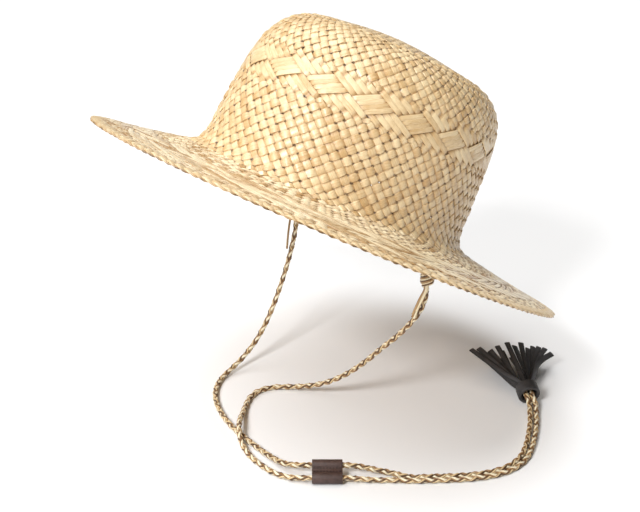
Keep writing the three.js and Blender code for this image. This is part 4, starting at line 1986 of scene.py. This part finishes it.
@dataclass
class Tassel:
    """Leather collar with a fan of leather strips.

    Attributes:
        edge: How wide the collar's edges are rounded.
        edge_bend: Edges that bend more than this, in radians, are rounded.
        strip_half_width: Half a strip's width.
        root_ring: The radius of the ring that the strips start from.
        root_oval: The ring's shares of that radius, to the side and up.
        fan_middle: Where the middle of the strips' ends is: to the side, and up for the roots and the faces.
        flare: Below 1, the strips part sooner than evenly.
        straight: From the collar's middle to where the strips part.
        shares: Places along a strip that its shape is set at; below 0 it is inside the collar.
        over_surface: How far a strip stays off the surface.
        lean: How much a strip's face may lean to one side.
    """

    sweep: Sweep
    finishes: Finishes
    place: TasselPlace
    shape: StrandShape = StrandShape(1.1, 0.85, 12)
    edge: float = 0.35
    edge_bend: float = math.radians(30)
    strip_half_width: float = 2.05
    root_ring: float = 5.0
    root_oval: tuple[float, float] = (0.82, 0.7)
    fan_middle: Triple = (-2.0, -10.0, -12.8)
    flare: float = 0.9
    straight: float = 5.0
    shares: tuple[float, ...] = (-0.12, 0.0, 0.25, 0.5, 0.78, 1.0)
    over_surface: float = 0.3
    lean: float = 0.35

    def collar(self) -> bpy.types.Object:
        """The collar: a wound strip with soft edges.

        Returns:
            The piece.
        """
        leather = self.finishes.black_leather
        collar = softened_copy("collar", "tassel_collar", leather, self.edge, self.edge_bend)
        return seated(collar, "black_leather", "tassel_collar")

    def strip_line(self, row: Strip) -> Array:
        """The middle line of one strip.

        Args:
            row: Where it ends.

        Returns:
            Its points at even steps.
        """
        middle, axis, side, up = self.place.axes()
        fan_aside, fan_up, _ = self.fan_middle
        root = np.clip(np.array([row.aside - fan_aside, row.up - fan_up]) * 0.32, -1, 1)
        root = root * self.root_ring * self.root_oval
        tip = np.array([row.aside, row.up])
        control = []
        for share in self.shares:
            spread = max(share, 0.0)
            spread = (spread * (1 - row.bend) + spread**3 * row.bend) ** self.flare
            aside, rise = root + (tip - root) * spread
            far = self.straight + (row.far - self.straight) * min(share, 1 - row.bend * (1 - share) * 0.3)
            control.append(middle + axis * far + side * aside + up * rise)
        line = smooth_route(np.array(control), 1.8)
        line[:, 2] = np.maximum(line[:, 2], self.shape.thickness / 2 + self.over_surface - FLOOR_BELOW)
        return line

    def strips(self) -> bpy.types.Object:
        """The strips, from a ring inside the collar to their ends.

        Returns:
            The piece.
        """
        rng = np.random.default_rng(17)
        _, _, side, up = self.place.axes()
        fan_aside, _, fan_up = self.fan_middle
        paths = Paths()
        for row in STRIPS:
            line = self.strip_line(row)
            t = np.linspace(0, 1, len(line))[:, None]
            # At the collar a strip faces out from the fan's middle, and at its end nearly up.
            way = unit(np.array([row.aside - fan_aside, (row.up - fan_up) * 1.6]))
            radial = side * way[0] + up * way[1]
            lean = up + side * rng.uniform(-self.lean, self.lean)
            normals = unit(radial * (1 - 0.75 * t) + lean * (0.2 + 0.8 * t))
            width = self.strip_half_width * rng.uniform(0.9, 1.08) * (0.85 + 0.15 * eased(t[:, 0] * 4))
            paths.add(line, normals, width, 0.5)
        piece = self.sweep.make("tassel_strips", paths, self.finishes.black_leather, self.shape)
        return seated(piece, "black_leather", "tassel_fringe")

    def build(self) -> list[bpy.types.Object]:
        """Builds the collar and its strips."""
        return [self.collar(), self.strips()]


# ---------------------------------------------------------------- studio


@dataclass(frozen=True)
class Lamp:
    """One soft light that looks at the hat.

    Attributes:
        name: Its name.
        kind: What sort of light it is.
        at: Its place, in metres.
        size: Its side in metres, or a sun's angle in radians.
        power: Its power in watts, or a sun's strength.
    """

    name: str
    kind: LampKind
    at: Triple
    size: float
    power: float

    def build(self) -> None:
        """Makes the light."""
        data = bpy.data.lights.new(self.name, self.kind.name)
        setattr(data, self.kind.value, self.size)
        data.energy = self.power
        lamp = linked(self.name, data)
        lamp.location = self.at
        lamp.rotation_euler = (-Vector(self.at)).to_track_quat("-Z", "Y").to_euler()


@dataclass
class Studio:
    """Pale floor, soft lights and the camera."""

    finishes: Finishes
    camera_at: Triple = (0.81148, -0.62010, 0.41067)
    looks_at: Triple = (0.00893, -0.01534, -0.03674)
    lens: float = 90.0
    sensor: float = 36.0
    floor_half: float = 6.0
    floor_gap: float = 0.2
    sky: Triple = (1.0, 0.95, 0.87)
    surround: float = 0.13
    seen: float = 1.1
    lamps: tuple[Lamp, ...] = (
        Lamp("key", LampKind.AREA, (0.66, -1.47, 1.15), 0.5, 35.0),
        Lamp("daylight", LampKind.SUN, (-0.62, -0.3, 2.0), math.radians(66), 2.9),
    )

    def camera(self) -> None:
        """Makes the camera at the photograph's angle."""
        data = bpy.data.cameras.new("camera")
        data.lens = self.lens
        data.sensor_width = self.sensor
        camera = linked("camera", data)
        camera.location = self.camera_at
        way = Vector(self.looks_at) - Vector(self.camera_at)
        camera.rotation_euler = way.to_track_quat("-Z", "Y").to_euler()
        bpy.context.scene.camera = camera

    def floor(self) -> None:
        """Makes the floor."""
        mesh = bpy.data.meshes.new("floor")
        half, z = self.floor_half, -(FLOOR_BELOW + self.floor_gap) * MM
        corners = [(-half, -half, z), (half, -half, z), (half, half, z), (-half, half, z)]
        mesh.from_pydata(corners, [], [(0, 1, 2, 3)])
        mesh.materials.append(self.finishes.floor)
        linked("floor", mesh)

    def surroundings(self) -> None:
        """Makes the surroundings, white in the picture, which light the hat only faintly."""
        world = bpy.data.worlds.new("studio")
        bpy.context.scene.world = world
        world.use_nodes = True
        tree = Tree(world.node_tree)
        seen = tree.node("ShaderNodeLightPath", out="Is Camera Ray")
        background = world.node_tree.nodes["Background"]
        tree.put(background.inputs["Color"], (*self.sky, 1.0))
        tree.put(background.inputs["Strength"], self.surround + seen * (self.seen - self.surround))

    def build(self) -> None:
        """Builds everything but the camera."""
        self.floor()
        for lamp in self.lamps:
            lamp.build()
        self.surroundings()
        bpy.context.scene.view_settings.view_transform = "Standard"


# ---------------------------------------------------------------- everything


def main() -> None:
    """Builds the hat in order: camera, cords and knots, leather, straw, studio."""
    logging.basicConfig(level=logging.INFO, format="%(message)s")
    finishes = Finishes()
    studio = Studio(finishes)
    studio.camera()
    sweep = Sweep()
    slider, tassel = SliderPlace(), TasselPlace()
    cord = ChinCord(sweep, finishes, slider, tassel)
    strands = {plan.side: cord.build(plan) for plan in (LEFT_STRAND, RIGHT_STRAND)}
    knot = CordKnot(sweep, finishes)
    knots = {side: knot.build(side) for side in Side}
    on_cord = CordSlider(sweep, finishes, slider).build() + Tassel(sweep, finishes, tassel).build()
    for side, (piece, line) in strands.items():
        cord.declare(line)
    form = HatForm()
    WovenBody(form, sweep, finishes).build()
    BrimEdge(form, sweep, finishes).build()
    for side in Side:
        for material_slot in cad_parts[f"cord_eye_{side.word}"].material_slots:
            material_slot.material = finishes.thread
    studio.build()


if __name__ == "__main__":
    main()
